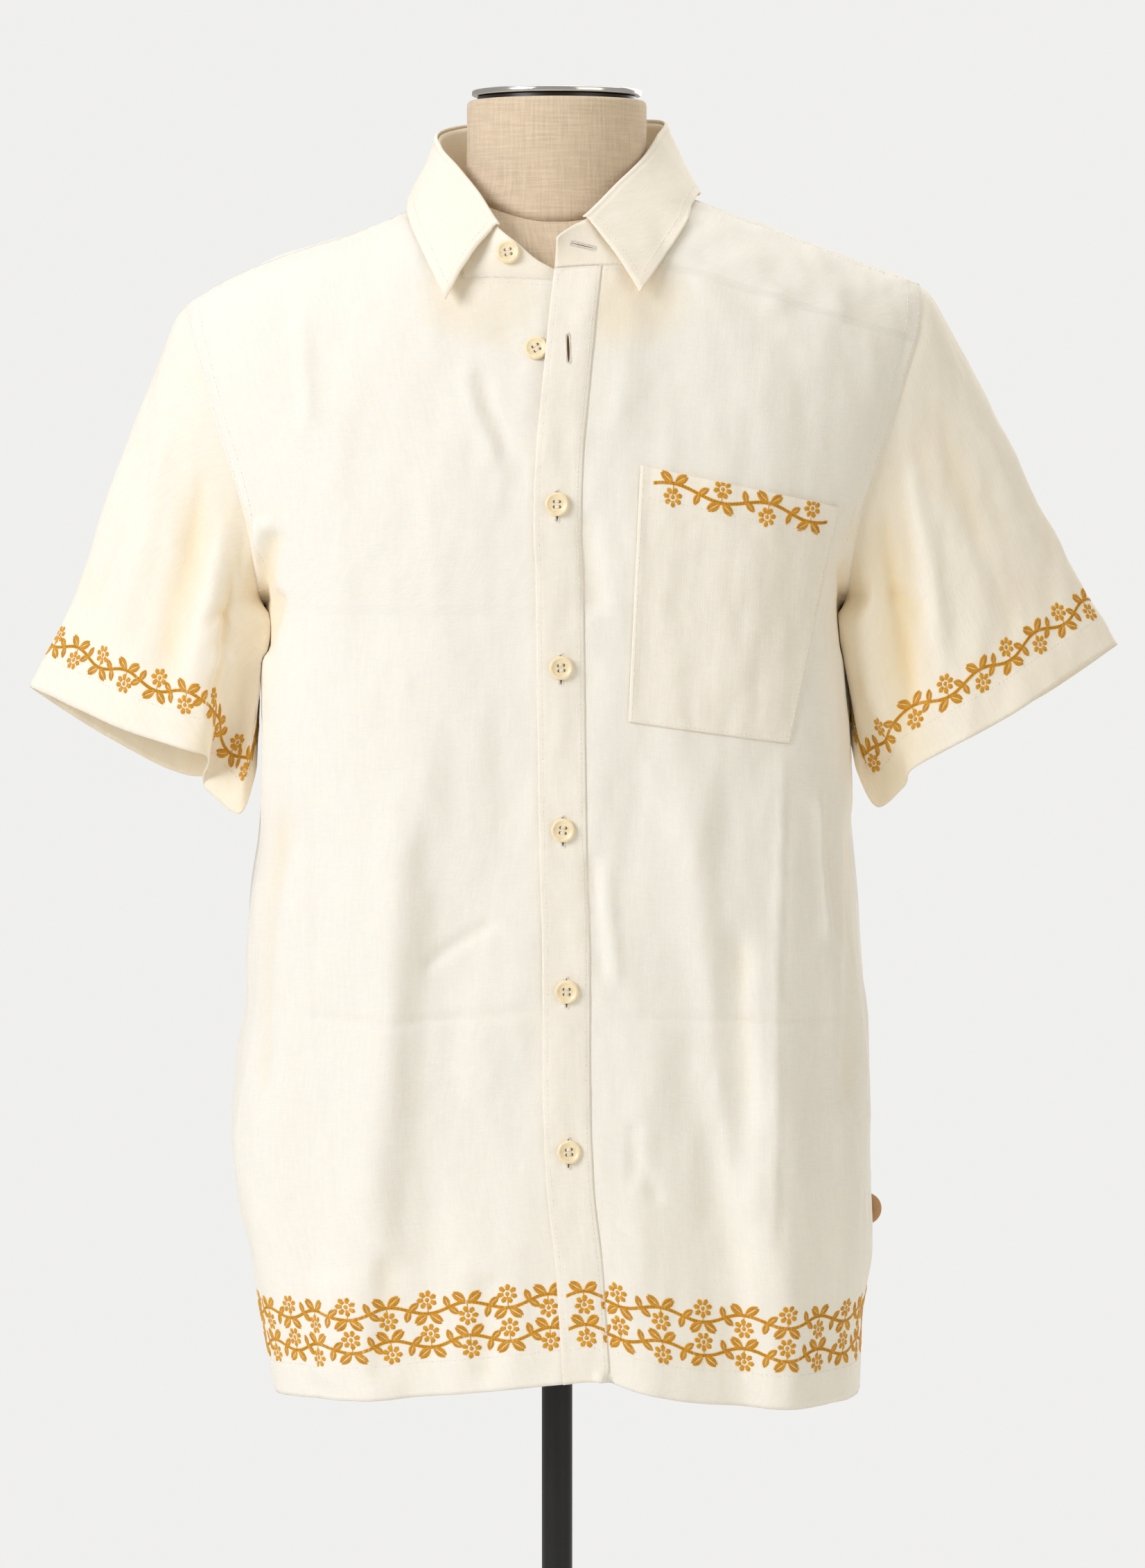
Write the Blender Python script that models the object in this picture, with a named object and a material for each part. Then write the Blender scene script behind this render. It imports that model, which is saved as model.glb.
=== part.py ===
"""Short-sleeve button-up shirt, as worn by a limbless dress form on a pole and round base.

+Z is up and the front faces -Y, so +X is the wearer's left. The origin is the centre of the
base's underside, on the pole's axis. The cloth is one master surface, body_point, which takes
a place across (x) and a length up the cloth (u); every panel is a stretch of it with a wall.
"""
import math

import bmesh
import bpy
from mathutils import Vector
from mathutils.bvhtree import BVHTree

for old in list(bpy.data.objects):
    bpy.data.objects.remove(old, do_unlink=True)

# Driving dimensions, in metres
CLOTH = 0.0014            # wall of one layer of cloth
SEAM_GAP = 0.0003         # between two pieces that a seam joins
LAY_GAP = 0.0006          # under a piece that lies on another
FRONT, BACK = -1, 1

ARMPIT_Z = 1.189          # the shoulders' arch starts here
ARCH_LENGTH = 0.27        # u from the armpit's level up to the shoulder ridge
ARCH_POWER = 2.8          # how square the arch over the shoulder is
SECTION_POWER = 2.6       # how square a level section is, about the armpit
SQUARE_BELOW = 3.0        # lower down, where the cloth hangs
ROUND_ABOVE = 2.35        # on the chest
YOKE_FORWARD = 0.035      # the yoke's front seam lies this far ahead of the ridge
SEAM_U = ARCH_LENGTH - YOKE_FORWARD
YOKE_BACK_Z = 1.355       # level of the yoke's back seam
CENTRE_NECK_U = {-1: 0.128, 1: 0.134}    # the neckline at the centre front, either side
NECK_RISE = {-1: 0.150, 1: 0.070}         # the rows level out within this of the centre
NECK_COLUMN = {-1: 4, 1: 3}               # the neckline turns up at this column
BAND_WIDTH = 0.030        # button band, and the lap of the fronts
LAP_LIFT = CLOTH + LAY_GAP
OPEN_LIFT = 0.0042        # further, where the fronts are left undone over a button
OPEN_FROM_Z = 1.275       # the fronts part above this

# Level sections of the body: half widths to either side, and depths ahead and behind
#   z, wearer's right (-x), wearer's left (+x), front depth, back depth
BODY = (
    (0.670, 0.1770, 0.1925, 0.121, 0.108),
    (0.705, 0.1847, 0.1949, 0.121, 0.108),
    (0.740, 0.1914, 0.1967, 0.120, 0.107),
    (0.776, 0.1976, 0.2032, 0.119, 0.106),
    (0.812, 0.2042, 0.2029, 0.119, 0.106),
    (0.857, 0.2085, 0.2012, 0.119, 0.106),
    (0.902, 0.2038, 0.1994, 0.120, 0.107),
    (0.938, 0.1985, 0.1980, 0.121, 0.108),
    (0.974, 0.1985, 0.1954, 0.122, 0.109),
    (1.010, 0.1968, 0.1931, 0.123, 0.110),
    (1.046, 0.1915, 0.1896, 0.124, 0.111),
    (1.081, 0.1895, 0.1874, 0.125, 0.112),
    (1.127, 0.1890, 0.1858, 0.127, 0.114),
    (1.189, 0.1885, 0.1840, 0.128, 0.116),
    (1.205, 0.1935, 0.1890, 0.128, 0.117),
    (1.235, 0.2060, 0.2010, 0.128, 0.118),
    (1.280, 0.2250, 0.2190, 0.127, 0.119),
    (1.340, 0.2440, 0.2400, 0.126, 0.119),
    (1.400, 0.2560, 0.2520, 0.125, 0.118),
    (1.480, 0.2600, 0.2560, 0.124, 0.117),
)
# Shoulder ridge: height, and how far out it is there on either side
#   z, wearer's right, wearer's left
RIDGE = (
    (1.4640, 0.000, 0.000),
    (1.4590, 0.050, 0.052),
    (1.4480, 0.084, 0.090),
    (1.4354, 0.1112, 0.1232),
    (1.4266, 0.1352, 0.1485),
    (1.4178, 0.1627, 0.1707),
    (1.4090, 0.1867, 0.1965),
    (1.4002, 0.2067, 0.2222),
    (1.3914, 0.2227, 0.2347),
    (1.3800, 0.2396, 0.2450),
    (1.3500, 0.2700, 0.2700),
)
# Where the ridge lies, front to back
#   distance from the centre, y
RIDGE_Y = ((0.000, 0.030), (0.085, 0.022), (0.150, 0.010), (0.240, 0.004))
# Armhole edge, the same before and behind
#   u, wearer's right, wearer's left
ARMHOLE = (
    (0.0000, 0.1885, 0.1840),
    (0.0340, 0.1925, 0.1880),
    (0.0550, 0.1985, 0.1940),
    (0.0750, 0.2060, 0.2030),
    (0.1080, 0.2180, 0.2170),
    (0.1515, 0.2290, 0.2280),
    (0.1920, 0.2340, 0.2304),
    (0.2700, 0.2355, 0.2308),
)
# Front edge of the button band
#   z, x
BAND_EDGE = (
    (0.690, 0.0056), (0.733, 0.0023), (0.773, 0.0006), (0.805, -0.0032), (0.834, -0.0062),
    (0.885, -0.0083), (0.985, -0.0088), (1.038, -0.0105), (1.090, -0.0113), (1.227, -0.0130),
    (1.260, -0.0143), (1.343, -0.0073), (1.380, -0.0012), (1.410, -0.0010),
)
# Hem level round the body, before and behind
#   x, front, back
HEM = (
    (-0.200, 0.686, 0.686), (-0.150, 0.695, 0.680), (-0.100, 0.699, 0.677),
    (-0.050, 0.704, 0.676), (0.000, 0.709, 0.676), (0.030, 0.711, 0.676),
    (0.060, 0.702, 0.676), (0.100, 0.695, 0.677), (0.150, 0.690, 0.680),
    (0.200, 0.688, 0.688),
)
# Neckline on either side, from the corner where it leaves its level stretch to the shoulder
#   place along it, x and u on the wearer's right, x and u on the wearer's left
NECKLINE = (
    (0.00, -0.0520, 0.1400, 0.0440, 0.1420),
    (0.20, -0.0655, 0.1500, 0.0620, 0.1530),
    (0.40, -0.0745, 0.1640, 0.0740, 0.1680),
    (0.60, -0.0800, 0.1830, 0.0805, 0.1870),
    (0.80, -0.0833, 0.2080, 0.0835, 0.2110),
    (1.00, -0.0845, SEAM_U, 0.0845, SEAM_U),
)
# Back of the neckline, on the yoke
#   share of the way from the shoulder to the centre back, x, length past the ridge
BACK_NECK = (
    (0.00, 0.0845, -YOKE_FORWARD), (0.20, 0.0850, -0.010), (0.40, 0.0820, 0.020),
    (0.65, 0.0620, 0.060), (0.85, 0.0300, 0.078), (1.00, 0.0000, 0.082),
)
# Largest hanging folds: where each runs at its top and at its foot, how wide and how proud
# (below nought is a trough), and the level where it fades out
#   side, x at 1.10, x at the hem, half width, height, top level
FOLDS = (
    (FRONT, -0.098, -0.124, 0.026, 0.0090, 1.18),
    (FRONT, -0.062, -0.088, 0.022, -0.0070, 1.12),
    (FRONT, 0.080, 0.116, 0.020, -0.0080, 1.12),
    (FRONT, 0.120, 0.146, 0.022, 0.0060, 1.08),
    (FRONT, 0.050, 0.054, 0.018, 0.0045, 1.02),
    (FRONT, 0.164, 0.172, 0.014, -0.0060, 1.12),
    (FRONT, -0.156, -0.160, 0.018, -0.0065, 1.12),
    (BACK, -0.135, -0.142, 0.026, 0.0110, 1.28),
    (BACK, -0.085, -0.090, 0.024, -0.0100, 1.28),
    (BACK, -0.030, -0.034, 0.026, 0.0100, 1.30),
    (BACK, 0.030, 0.032, 0.024, -0.0090, 1.30),
    (BACK, 0.085, 0.094, 0.026, 0.0110, 1.28),
    (BACK, 0.140, 0.146, 0.022, -0.0090, 1.26),
)
# Sleeve hems as loops: place round from the shoulder, over the front, under and up the back
#   place, x, y, z
SLEEVE_HEM_RIGHT = (
    (0.00, -0.3363, 0.004, 1.1373), (0.09, -0.3050, -0.030, 1.1264),
    (0.17, -0.2727, -0.050, 1.1139), (0.26, -0.2300, -0.062, 1.1010),
    (0.30, -0.2210, -0.053, 1.0972), (0.33, -0.2245, -0.036, 1.0880),
    (0.37, -0.2280, -0.020, 1.0783), (0.41, -0.2220, -0.022, 1.0700),
    (0.46, -0.2085, -0.036, 1.0600), (0.51, -0.2000, -0.026, 1.0810),
    (0.56, -0.1965, -0.006, 1.0960), (0.63, -0.2040, 0.020, 1.0900),
    (0.75, -0.2380, 0.038, 1.0790), (0.88, -0.2900, 0.030, 1.1040),
)
SLEEVE_HEM_LEFT = (
    (0.00, 0.3596, 0.004, 1.1655), (0.09, 0.3221, -0.033, 1.1450),
    (0.18, 0.2808, -0.052, 1.1200), (0.26, 0.2502, -0.058, 1.1040),
    (0.34, 0.2230, -0.052, 1.0880), (0.40, 0.2235, -0.030, 1.0760),
    (0.45, 0.2115, -0.018, 1.0630), (0.50, 0.2015, -0.028, 1.0790),
    (0.55, 0.1950, -0.022, 1.0930), (0.61, 0.1925, 0.004, 1.1150),
    (0.70, 0.2060, 0.030, 1.1040), (0.80, 0.2480, 0.042, 1.1010),
    (0.91, 0.3100, 0.030, 1.1290),
)
# Collar stand: its upper edge from the wearer's right end round the back to the left end
#   place, x, y, z, share of the neckline below it
STAND_TOP = (
    (0.00, 0.0060, -0.0925, 1.4095, 0.00), (0.03, -0.0110, -0.0935, 1.4125, 0.05),
    (0.07, -0.0230, -0.0925, 1.4200, 0.09), (0.12, -0.0365, -0.0840, 1.4290, 0.14),
    (0.20, -0.0500, -0.0560, 1.4500, 0.215), (0.27, -0.0625, -0.0250, 1.4665, 0.275),
    (0.34, -0.0735, 0.0080, 1.4810, 0.34), (0.40, -0.0740, 0.0400, 1.4930, 0.40),
    (0.45, -0.0480, 0.0690, 1.5000, 0.46), (0.50, 0.0000, 0.0800, 1.5020, 0.52),
    (0.55, 0.0460, 0.0700, 1.5020, 0.58), (0.60, 0.0680, 0.0400, 1.4990, 0.64),
    (0.66, 0.0645, 0.0060, 1.4880, 0.70), (0.73, 0.0550, -0.0245, 1.4720, 0.77),
    (0.80, 0.0400, -0.0560, 1.4560, 0.83), (0.88, 0.0200, -0.0860, 1.4350, 0.90),
    (0.94, 0.0100, -0.0980, 1.4290, 0.95), (1.00, 0.0010, -0.1050, 1.4220, 1.00),
)
# Collar leaf: the free edge from the wearer's right point round the back to the left point
#   place on the stand above it, x, y, z
LEAF_EDGE = (
    (0.120, -0.0683, -0.1110, 1.3839), (0.150, -0.0825, -0.0810, 1.4120),
    (0.215, -0.0935, -0.0420, 1.4370), (0.285, -0.0950, -0.0050, 1.4480),
    (0.350, -0.0930, 0.0400, 1.4500), (0.410, -0.0720, 0.0760, 1.4500),
    (0.500, 0.0000, 0.0990, 1.4500), (0.590, 0.0720, 0.0760, 1.4500),
    (0.650, 0.0910, 0.0400, 1.4540), (0.715, 0.0900, -0.0020, 1.4530),
    (0.785, 0.0845, -0.0400, 1.4430), (0.845, 0.0700, -0.0810, 1.4150),
    (0.890, 0.0520, -0.1110, 1.3877),
)
# Pocket corners on the wearer's left front, with its slight lean
#   x, z
POCKET_TOP = ((0.0515, 1.2813), (0.1754, 1.2551))
POCKET_FOOT = ((0.0442, 1.1235), (0.1448, 1.1086))

BUTTON_RADIUS = 0.0074
BUTTON_THICKNESS = 0.0028
BUTTON_TOP_Z = 1.2573     # highest fastened button
BUTTON_PITCH = 0.1004
BUTTONS_FASTENED = 5
OPEN_BUTTON = (-0.0120, 1.3529)    # x and z of the undone one, on the wearer's right front
NECK_BUTTON = (-0.0295, 1.4125)    # x and z of the one on the stand
TAB_Z = 0.8014            # round tab in the wearer's left side seam
TAB_RADIUS = 0.0105
TAB_REACH = 0.0060

# The form's own sizes
FORM_GAP = 0.0030         # under the cloth on the shoulders, whose facets sink a little
FORM_FOOT_Z = 0.800
NECK_TOP_Z = 1.5115
NECK_HALF_WIDTH = 0.0572
NECK_HALF_DEPTH = 0.0600
NECK_CENTRE_Y = 0.004
PLATE_RADIUS = 0.0540
PLATE_THICKNESS = 0.0038
GAP_PLATE_RADIUS = 0.0505
GAP_PLATE_THICKNESS = 0.0026
POLE_RADIUS = 0.0099
BASE_RADIUS = 0.190
BASE_THICKNESS = 0.010
SOCKET_RADIUS = 0.021
SOCKET_HEIGHT = 0.055
# How far the form lies inside the cloth
#   length up the cloth from the armpit's level, inset
FORM_INSET = (
    (-0.390, 0.0260), (-0.240, 0.0300), (-0.140, 0.0260), (-0.070, 0.0190), (0.000, 0.0140),
    (0.040, 0.0080), (0.090, 0.0050), (0.140, CLOTH + FORM_GAP), (0.270, CLOTH + FORM_GAP),
)

# Colours and finishes: base colour, roughness, metallic
FINISH = {
    "cloth": ((0.90, 0.85, 0.74), 0.85, 0.0),
    "cloth_warm": ((0.90, 0.82, 0.66), 0.85, 0.0),
    "button": ((0.86, 0.74, 0.48), 0.35, 0.0),
    "tab": ((0.55, 0.42, 0.25), 0.80, 0.0),
    "linen": ((0.50, 0.41, 0.29), 0.90, 0.0),
    "chrome": ((0.75, 0.75, 0.76), 0.15, 1.0),
    "black_metal": ((0.02, 0.02, 0.022), 0.40, 0.8),
}


def along(rows, place, column=1, key=0):
    """One column of a table at a place between its rows, on a smooth curve."""
    if rows[0][key] > rows[-1][key]:
        rows = rows[::-1]
    if place <= rows[0][key]:
        return rows[0][column]
    if place >= rows[-1][key]:
        return rows[-1][column]
    last = len(rows) - 1
    i = max(n for n in range(last) if rows[n][key] <= place)

    def slope(n):
        before, after = max(n - 1, 0), min(n + 1, last)
        return (rows[after][column] - rows[before][column]) / (rows[after][key] - rows[before][key])

    span = rows[i + 1][key] - rows[i][key]
    t = (place - rows[i][key]) / span
    start = (2 * t**3 - 3 * t**2 + 1) * rows[i][column] + (t**3 - 2 * t**2 + t) * span * slope(i)
    end = (3 * t**2 - 2 * t**3) * rows[i + 1][column] + (t**3 - t**2) * span * slope(i + 1)
    return start + end


def along_loop(rows, place):
    """The point of a closed table (place, x, y, z) at a place round it."""
    before = tuple((row[0] - 1.0,) + row[1:] for row in rows)
    after = tuple((row[0] + 1.0,) + row[1:] for row in rows)
    round_again = before + tuple(rows) + after
    return Vector([along(round_again, place % 1.0, axis) for axis in (1, 2, 3)])


def tree_of(*bodies):
    """The faces of some bodies, to lay other pieces on."""
    work = bmesh.new()
    for body in bodies:
        work.from_mesh(body.data)
    tree = BVHTree.FromBMesh(work)
    work.free()
    return tree


def kept_clear(point, tree, centre, gap):
    """The point, moved away from a centre until it is a gap outside the bodies of a tree."""
    reach = (point - centre).length
    way = (point - centre) / reach
    hit = tree.ray_cast(centre + way, -way)[0]
    if hit is None:
        return point
    return centre + way * max(reach, (hit - centre).dot(way) + gap)


def along_path(rows, place, first=1):
    """The point of an open table at a place along it."""
    return Vector([along(rows, place, first + axis) for axis in range(3)])


def smooth(value):
    """Ease from 0 to 1."""
    value = min(max(value, 0.0), 1.0)
    return value * value * (3 - 2 * value)


def steps(start, end, count):
    return [start + (end - start) * i / count for i in range(count + 1)]


def section_power(z):
    return SQUARE_BELOW + (ROUND_ABOVE - SQUARE_BELOW) * smooth((z - 1.12) / 0.18)


def superellipse(angle, power):
    """Sine-like and cosine-like reach of a squared circle, at an angle from 0 to a half pi."""
    across, ahead = math.sin(angle), math.cos(angle)
    radius = (abs(across)**power + abs(ahead)**power) ** (-1 / power)
    return across * radius, ahead * radius


def side_of(x):
    """Column of the wearer's right or left in a table."""
    return 1 if x < 0 else 2


def ridge_z(x):
    return along(RIDGE, abs(x), 0, side_of(x))


def half_width(x, z):
    return along(BODY, z, side_of(x))


def armhole_x(hand, u):
    """Where the armhole edge lies: hand is -1 for the wearer's right and 1 for the left."""
    return hand * along(ARMHOLE, u, side_of(hand))


def fold_height(x, z, side):
    """How far the large folds stand proud of the plain section."""
    proud = 0.0
    for fold_side, x_high, x_hem, width, height, top in FOLDS:
        if fold_side != side or z > top:
            continue
        centre = x_high + (x_hem - x_high) * (1.10 - z) / 0.40
        strength = smooth((top - z) / 0.22)
        proud += height * strength * math.exp(-((x - centre) / width) ** 2)
    return proud


def body_point(x, u, side, inset=0.0, folded=True):
    """A point of the cloth: x across, u up the cloth from the armpit's level."""
    rise, keep = 0.0, 1.0
    top = ridge_z(x) - inset
    if u > 0:
        rise, keep = superellipse(0.5 * math.pi * min(u / ARCH_LENGTH, 1.0), ARCH_POWER)
        z = ARMPIT_Z + (top - ARMPIT_Z) * rise
    else:
        z = ARMPIT_Z + u
    share = min(abs(x) / (half_width(x, z) - inset), 1.0)
    power = section_power(z)
    flat = max(1 - share**power, 0.0) ** (1 / power)
    reach = (along(BODY, z, 3 if side == FRONT else 4) - inset) * flat
    if folded:
        reach += fold_height(x, z, side) * flat
    ridge = along(RIDGE_Y, abs(x))
    y = ridge + (side * reach - ridge) * keep if u > 0 else side * reach
    return Vector((x, y, z))


def u_at(x, z):
    """Length up the cloth at which a place x has the height z."""
    if z <= ARMPIT_Z:
        return z - ARMPIT_Z
    rise = min((z - ARMPIT_Z) / (ridge_z(x) - ARMPIT_Z), 1.0)
    keep = (1 - rise**ARCH_POWER) ** (1 / ARCH_POWER)
    return ARCH_LENGTH * math.atan2(rise, keep) / (0.5 * math.pi)


def yoke_point(x, past):
    """A point of the yoke, by its length past the ridge towards the back."""
    side = FRONT if past < 0 else BACK
    return body_point(x, ARCH_LENGTH - abs(past), side)


def grid_normals(grid, around=False):
    """Unit normals of a grid of points, from its neighbours."""
    rows, cols = len(grid), len(grid[0])

    def point(i, j):
        inside = 0 <= i < rows and (around or 0 <= j < cols)
        return grid[i][j % cols] if inside else None

    def spread(i, j, down, right):
        ahead, behind = point(i + down, j + right), point(i - down, j - right)
        return (ahead or grid[i][j]) - (behind or grid[i][j])

    return [[None if grid[i][j] is None
             else spread(i, j, 0, 1).cross(spread(i, j, 1, 0)).normalized()
             for j in range(cols)] for i in range(rows)]


def lifted(grid, height, around=False):
    """The grid moved out along its normals; height may be a function of the point."""
    normals = grid_normals(grid, around)
    reach = height if callable(height) else lambda point: height
    return [[None if point is None else point + normals[i][j] * reach(point)
             for j, point in enumerate(line)] for i, line in enumerate(grid)]


def finish(name):
    material = bpy.data.materials.get(name)
    if material:
        return material
    colour, roughness, metallic = FINISH[name]
    material = bpy.data.materials.new(name)
    material.use_nodes = True
    shader = material.node_tree.nodes["Principled BSDF"]
    shader.inputs["Base Color"].default_value = (*colour, 1.0)
    shader.inputs["Roughness"].default_value = roughness
    shader.inputs["Metallic"].default_value = metallic
    return material


def add_object(name, points, faces, material, flat_angle=35):
    """One closed body from points and faces, with its faces turned out."""
    mesh = bpy.data.meshes.new(name)
    mesh.from_pydata([tuple(point) for point in points], [], faces)
    work = bmesh.new()
    work.from_mesh(mesh)
    bmesh.ops.remove_doubles(work, verts=work.verts, dist=1e-6)
    bmesh.ops.recalc_face_normals(work, faces=work.faces)
    work.to_mesh(mesh)
    work.free()
    mesh.shade_smooth()
    mesh.set_sharp_from_angle(angle=math.radians(flat_angle))
    mesh.materials.append(finish(material))
    body = bpy.data.objects.new(name, mesh)
    bpy.context.scene.collection.objects.link(body)
    return body


def add_wall(name, grid, material, around=False, wall=CLOTH):
    """A wall of cloth whose outer side is the grid, closed along its free edges.

    A cell is left out where one of its corners is None.
    """
    rows, cols = len(grid), len(grid[0])
    normals = grid_normals(grid, around)
    index, points = {}, []
    for i in range(rows):
        for j in range(cols):
            if grid[i][j] is not None:
                index[i, j] = len(points)
                points += [grid[i][j], grid[i][j] - normals[i][j] * wall]
    faces, borders = [], {}
    for i in range(rows - 1):
        for j in range(cols if around else cols - 1):
            after = (j + 1) % cols
            corners = [(i, j), (i, after), (i + 1, after), (i + 1, j)]
            if any(corner not in index for corner in corners):
                continue
            face = [index[corner] for corner in corners]
            faces.append(tuple(face))
            faces.append(tuple(corner + 1 for corner in reversed(face)))
            for start, end in zip(face, face[1:] + face[:1]):
                edge = (min(start, end), max(start, end))
                borders[edge] = borders.get(edge, 0) + 1
    faces += [(a, b, b + 1, a + 1) for (a, b), uses in borders.items() if uses == 1]
    return add_object(name, points, faces, material)


def add_turned(name, profile, place, axis, material, sides=32):
    """A solid turned about an axis through a place; the profile is (radius, height) rows."""
    turn = Vector(axis).normalized().to_track_quat("Z", "Y").to_matrix()
    points, faces = [], []
    for radius, height in profile:
        for k in range(sides):
            angle = 2 * math.pi * k / sides
            spot = Vector((radius * math.cos(angle), radius * math.sin(angle), height))
            points.append(Vector(place) + turn @ spot)
    for ring in range(len(profile) - 1):
        for k in range(sides):
            low, high = ring * sides, (ring + 1) * sides
            after = (k + 1) % sides
            faces.append((low + k, low + after, high + after, high + k))
    faces.append(tuple(reversed(range(sides))))
    faces.append(tuple(range((len(profile) - 1) * sides, len(profile) * sides)))
    return add_object(name, points, faces, material)


# How finely each piece is divided
LOWER_STEPS = 12          # hem to armpit, on the fronts and the back
CHEST_SHARES = (0.0, 0.045, 0.13, 0.26, 0.44, 0.68, 1.0)    # armpit to the front's neckline
NECK_STEPS = 5            # along the neckline to the shoulder
FRONT_SPREAD = 8          # from the lapped stretch to the side
BACK_SPREAD = 10          # from the centre back to each side
BACK_SHARES = (0.0, 0.045, 0.13, 0.26, 0.44, 0.63, 0.82, 1.0)    # armpit to the yoke
YOKE_NECK_STEPS = 5       # of the back's columns, from the centre to the neck's side
YOKE_SHARES = (0.0, 0.1074, 0.2147, 0.36, 0.52, 0.68, 0.84, 1.0)
SLEEVE_SHARES = (0.0, 0.035, 0.10, 0.22, 0.36, 0.52, 0.68, 0.84, 1.0)
STAND_ROWS = 2
LEAF_ROWS = 4
LEAF_STEPS = 24
POCKET_ROWS = 9
POCKET_STEPS = 11
FORM_LOWER_STEPS = 9
FORM_UPPER_STEPS = 10
FORM_SPREAD = 8

# Smaller settings of the same pieces
STAND_START = 0.045       # share of the neckline that the stand's right end leaves free
LEAF_BULGE = 0.003
POCKET_GAP = 0.0011
BAND_SHORT = 0.003        # the band ends this far below the neckline
LAP_FLAT = 0.036          # the lapped stretch, from the front's edge
LAP_EASE = 0.040          # and the stretch over which it comes down again
SLEEVE_GAP = 0.0009
UNDERARM_GAP = 0.0012     # the sleeve starts this far outside the body under the arm
SLEEVE_CLEAR = 0.0040     # between the sleeve and the body's side, once it has left the armhole
LEAF_CLEAR = 0.0028
TAB_WALL = 0.0012
NECK_FLARE = 1.10
NECK_SEAT_GAP = 0.0020
LEAF_CENTRE_DROP = 0.05   # the leaf is laid outwards from a centre this far below each point
# Crest of the folded collar, from the stand's upper edge: out, up
LEAF_CREST = ((-0.0002, 0.0024), (0.0014, 0.0024), (0.0034, 0.0006), (0.0042, -0.0030))
# How the sleeve's crown stands off a straight fall: share of its length, out
SLEEVE_CROWN = ((0.0, 0.0), (0.035, 0.0040), (0.10, 0.0044), (0.20, 0.0034), (0.38, 0.0026),
                (0.70, -0.0008), (0.87, -0.0019), (1.0, 0.0))
# Half width of the form above the armpit, at its arm plates
FORM_PLATE = ((0.0, 0.170), (0.05, 0.166), (0.12, 0.176), (0.20, 0.186), (0.27, 0.190))

# Rows that the panels share, as lengths up the cloth
ARM_TURN_U = 0.140        # the armhole's length up where the neckline's rows begin
BAND_ROWS = LOWER_STEPS + len(CHEST_SHARES) - 1
FRONT_ARM_U = [ARM_TURN_U * share for share in CHEST_SHARES]
FRONT_ARM_U += steps(ARM_TURN_U, SEAM_U, NECK_STEPS)[1:]


def hem_u(x, side):
    return along(HEM, x, 1 if side == FRONT else 2) - ARMPIT_Z


def neckline(hand, share):
    """Place across and length up of the neckline, from the centre front to the shoulder."""
    across, up = (1, 2) if hand < 0 else (3, 4)
    return along(NECKLINE, share, across), along(NECKLINE, share, up)


def side_spread(count):
    """Shares from the centre to the side, closer where the section turns."""
    return [superellipse(0.5 * math.pi * k / count, SECTION_POWER)[0] for k in range(count + 1)]


def front_grid(hand):
    """Outer side of one front: rows up from the hem, columns from its edge to the side."""
    lap = BAND_WIDTH if hand < 0 else 0.0
    rows = []
    for share in steps(0, 1, LOWER_STEPS):
        edge_u = hem_u(0.0, FRONT) * (1 - share)
        outer_u = hem_u(hand * 0.19, FRONT) * (1 - share)
        rows.append((along(BAND_EDGE, ARMPIT_Z + edge_u) + lap, edge_u,
                     hand * half_width(hand, ARMPIT_Z + outer_u), outer_u))
    for share in CHEST_SHARES[1:]:
        edge_u, arm_u = CENTRE_NECK_U[hand] * share, ARM_TURN_U * share
        edge_x = along(BAND_EDGE, body_point(0.0, edge_u, FRONT).z) + lap
        rows.append((edge_x, edge_u, armhole_x(hand, arm_u), arm_u))
    for number, arm_u in enumerate(FRONT_ARM_U[len(CHEST_SHARES):], 1):
        edge_x, edge_u = neckline(hand, number / NECK_STEPS)
        rows.append((edge_x, edge_u, armhole_x(hand, arm_u), arm_u))
    grid = []
    for number, (edge_x, edge_u, outer_x, outer_u) in enumerate(rows):
        if number <= BAND_ROWS:
            reach = abs(outer_x - edge_x)
            shares = [BAND_WIDTH * 0.5 * n / reach for n in range(4)]
            shares += [shares[-1] + (1 - shares[-1]) * share
                       for share in side_spread(FRONT_SPREAD)[1:]]
        else:
            reach = 0.0
            left_out = NECK_COLUMN[hand]
            first = grid[BAND_ROWS][left_out].x
            spread = [(grid[BAND_ROWS][j].x - first) / (grid[BAND_ROWS][-1].x - first)
                      for j in range(left_out, 4 + FRONT_SPREAD)]
            shares = [None] * left_out + spread
        line = []
        for share in shares:
            if share is None:
                line.append(None)
                continue
            x = edge_x + (outer_x - edge_x) * share
            rise = min(share * reach / NECK_RISE[hand], 1.0) if reach else share
            if number <= LOWER_STEPS:
                rise = share
            u = hem_u(x, FRONT) if number == 0 else edge_u + (outer_u - edge_u) * rise
            line.append(body_point(x, u, FRONT))
        grid.append(line)
    return grid


def drawn_back(grid, rows=(), cols=(), gap=SEAM_GAP):
    """The grid with some border rows and columns (0 or -1) drawn back by a seam's gap."""
    out = [list(line) for line in grid]
    for border in rows:
        beside = 1 if border == 0 else -2
        for j, point in enumerate(grid[border]):
            if point is not None:
                out[border][j] = point + (grid[beside][j] - point).normalized() * gap
    for border in cols:
        beside = 1 if border == 0 else -2
        for line in out:
            line[border] = line[border] + (line[beside] - line[border]).normalized() * gap
    return out


def mirrored_columns(grid):
    return [line[::-1] for line in grid]


def lap_height(point):
    """How far the wearer's left front is lifted to lie over the right one."""
    inward = point.x - along(BAND_EDGE, point.z)
    parted = OPEN_LIFT * smooth((point.z - OPEN_FROM_Z) / 0.06)
    return (LAP_LIFT + parted) * (1 - smooth((inward - LAP_FLAT) / LAP_EASE))


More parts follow.
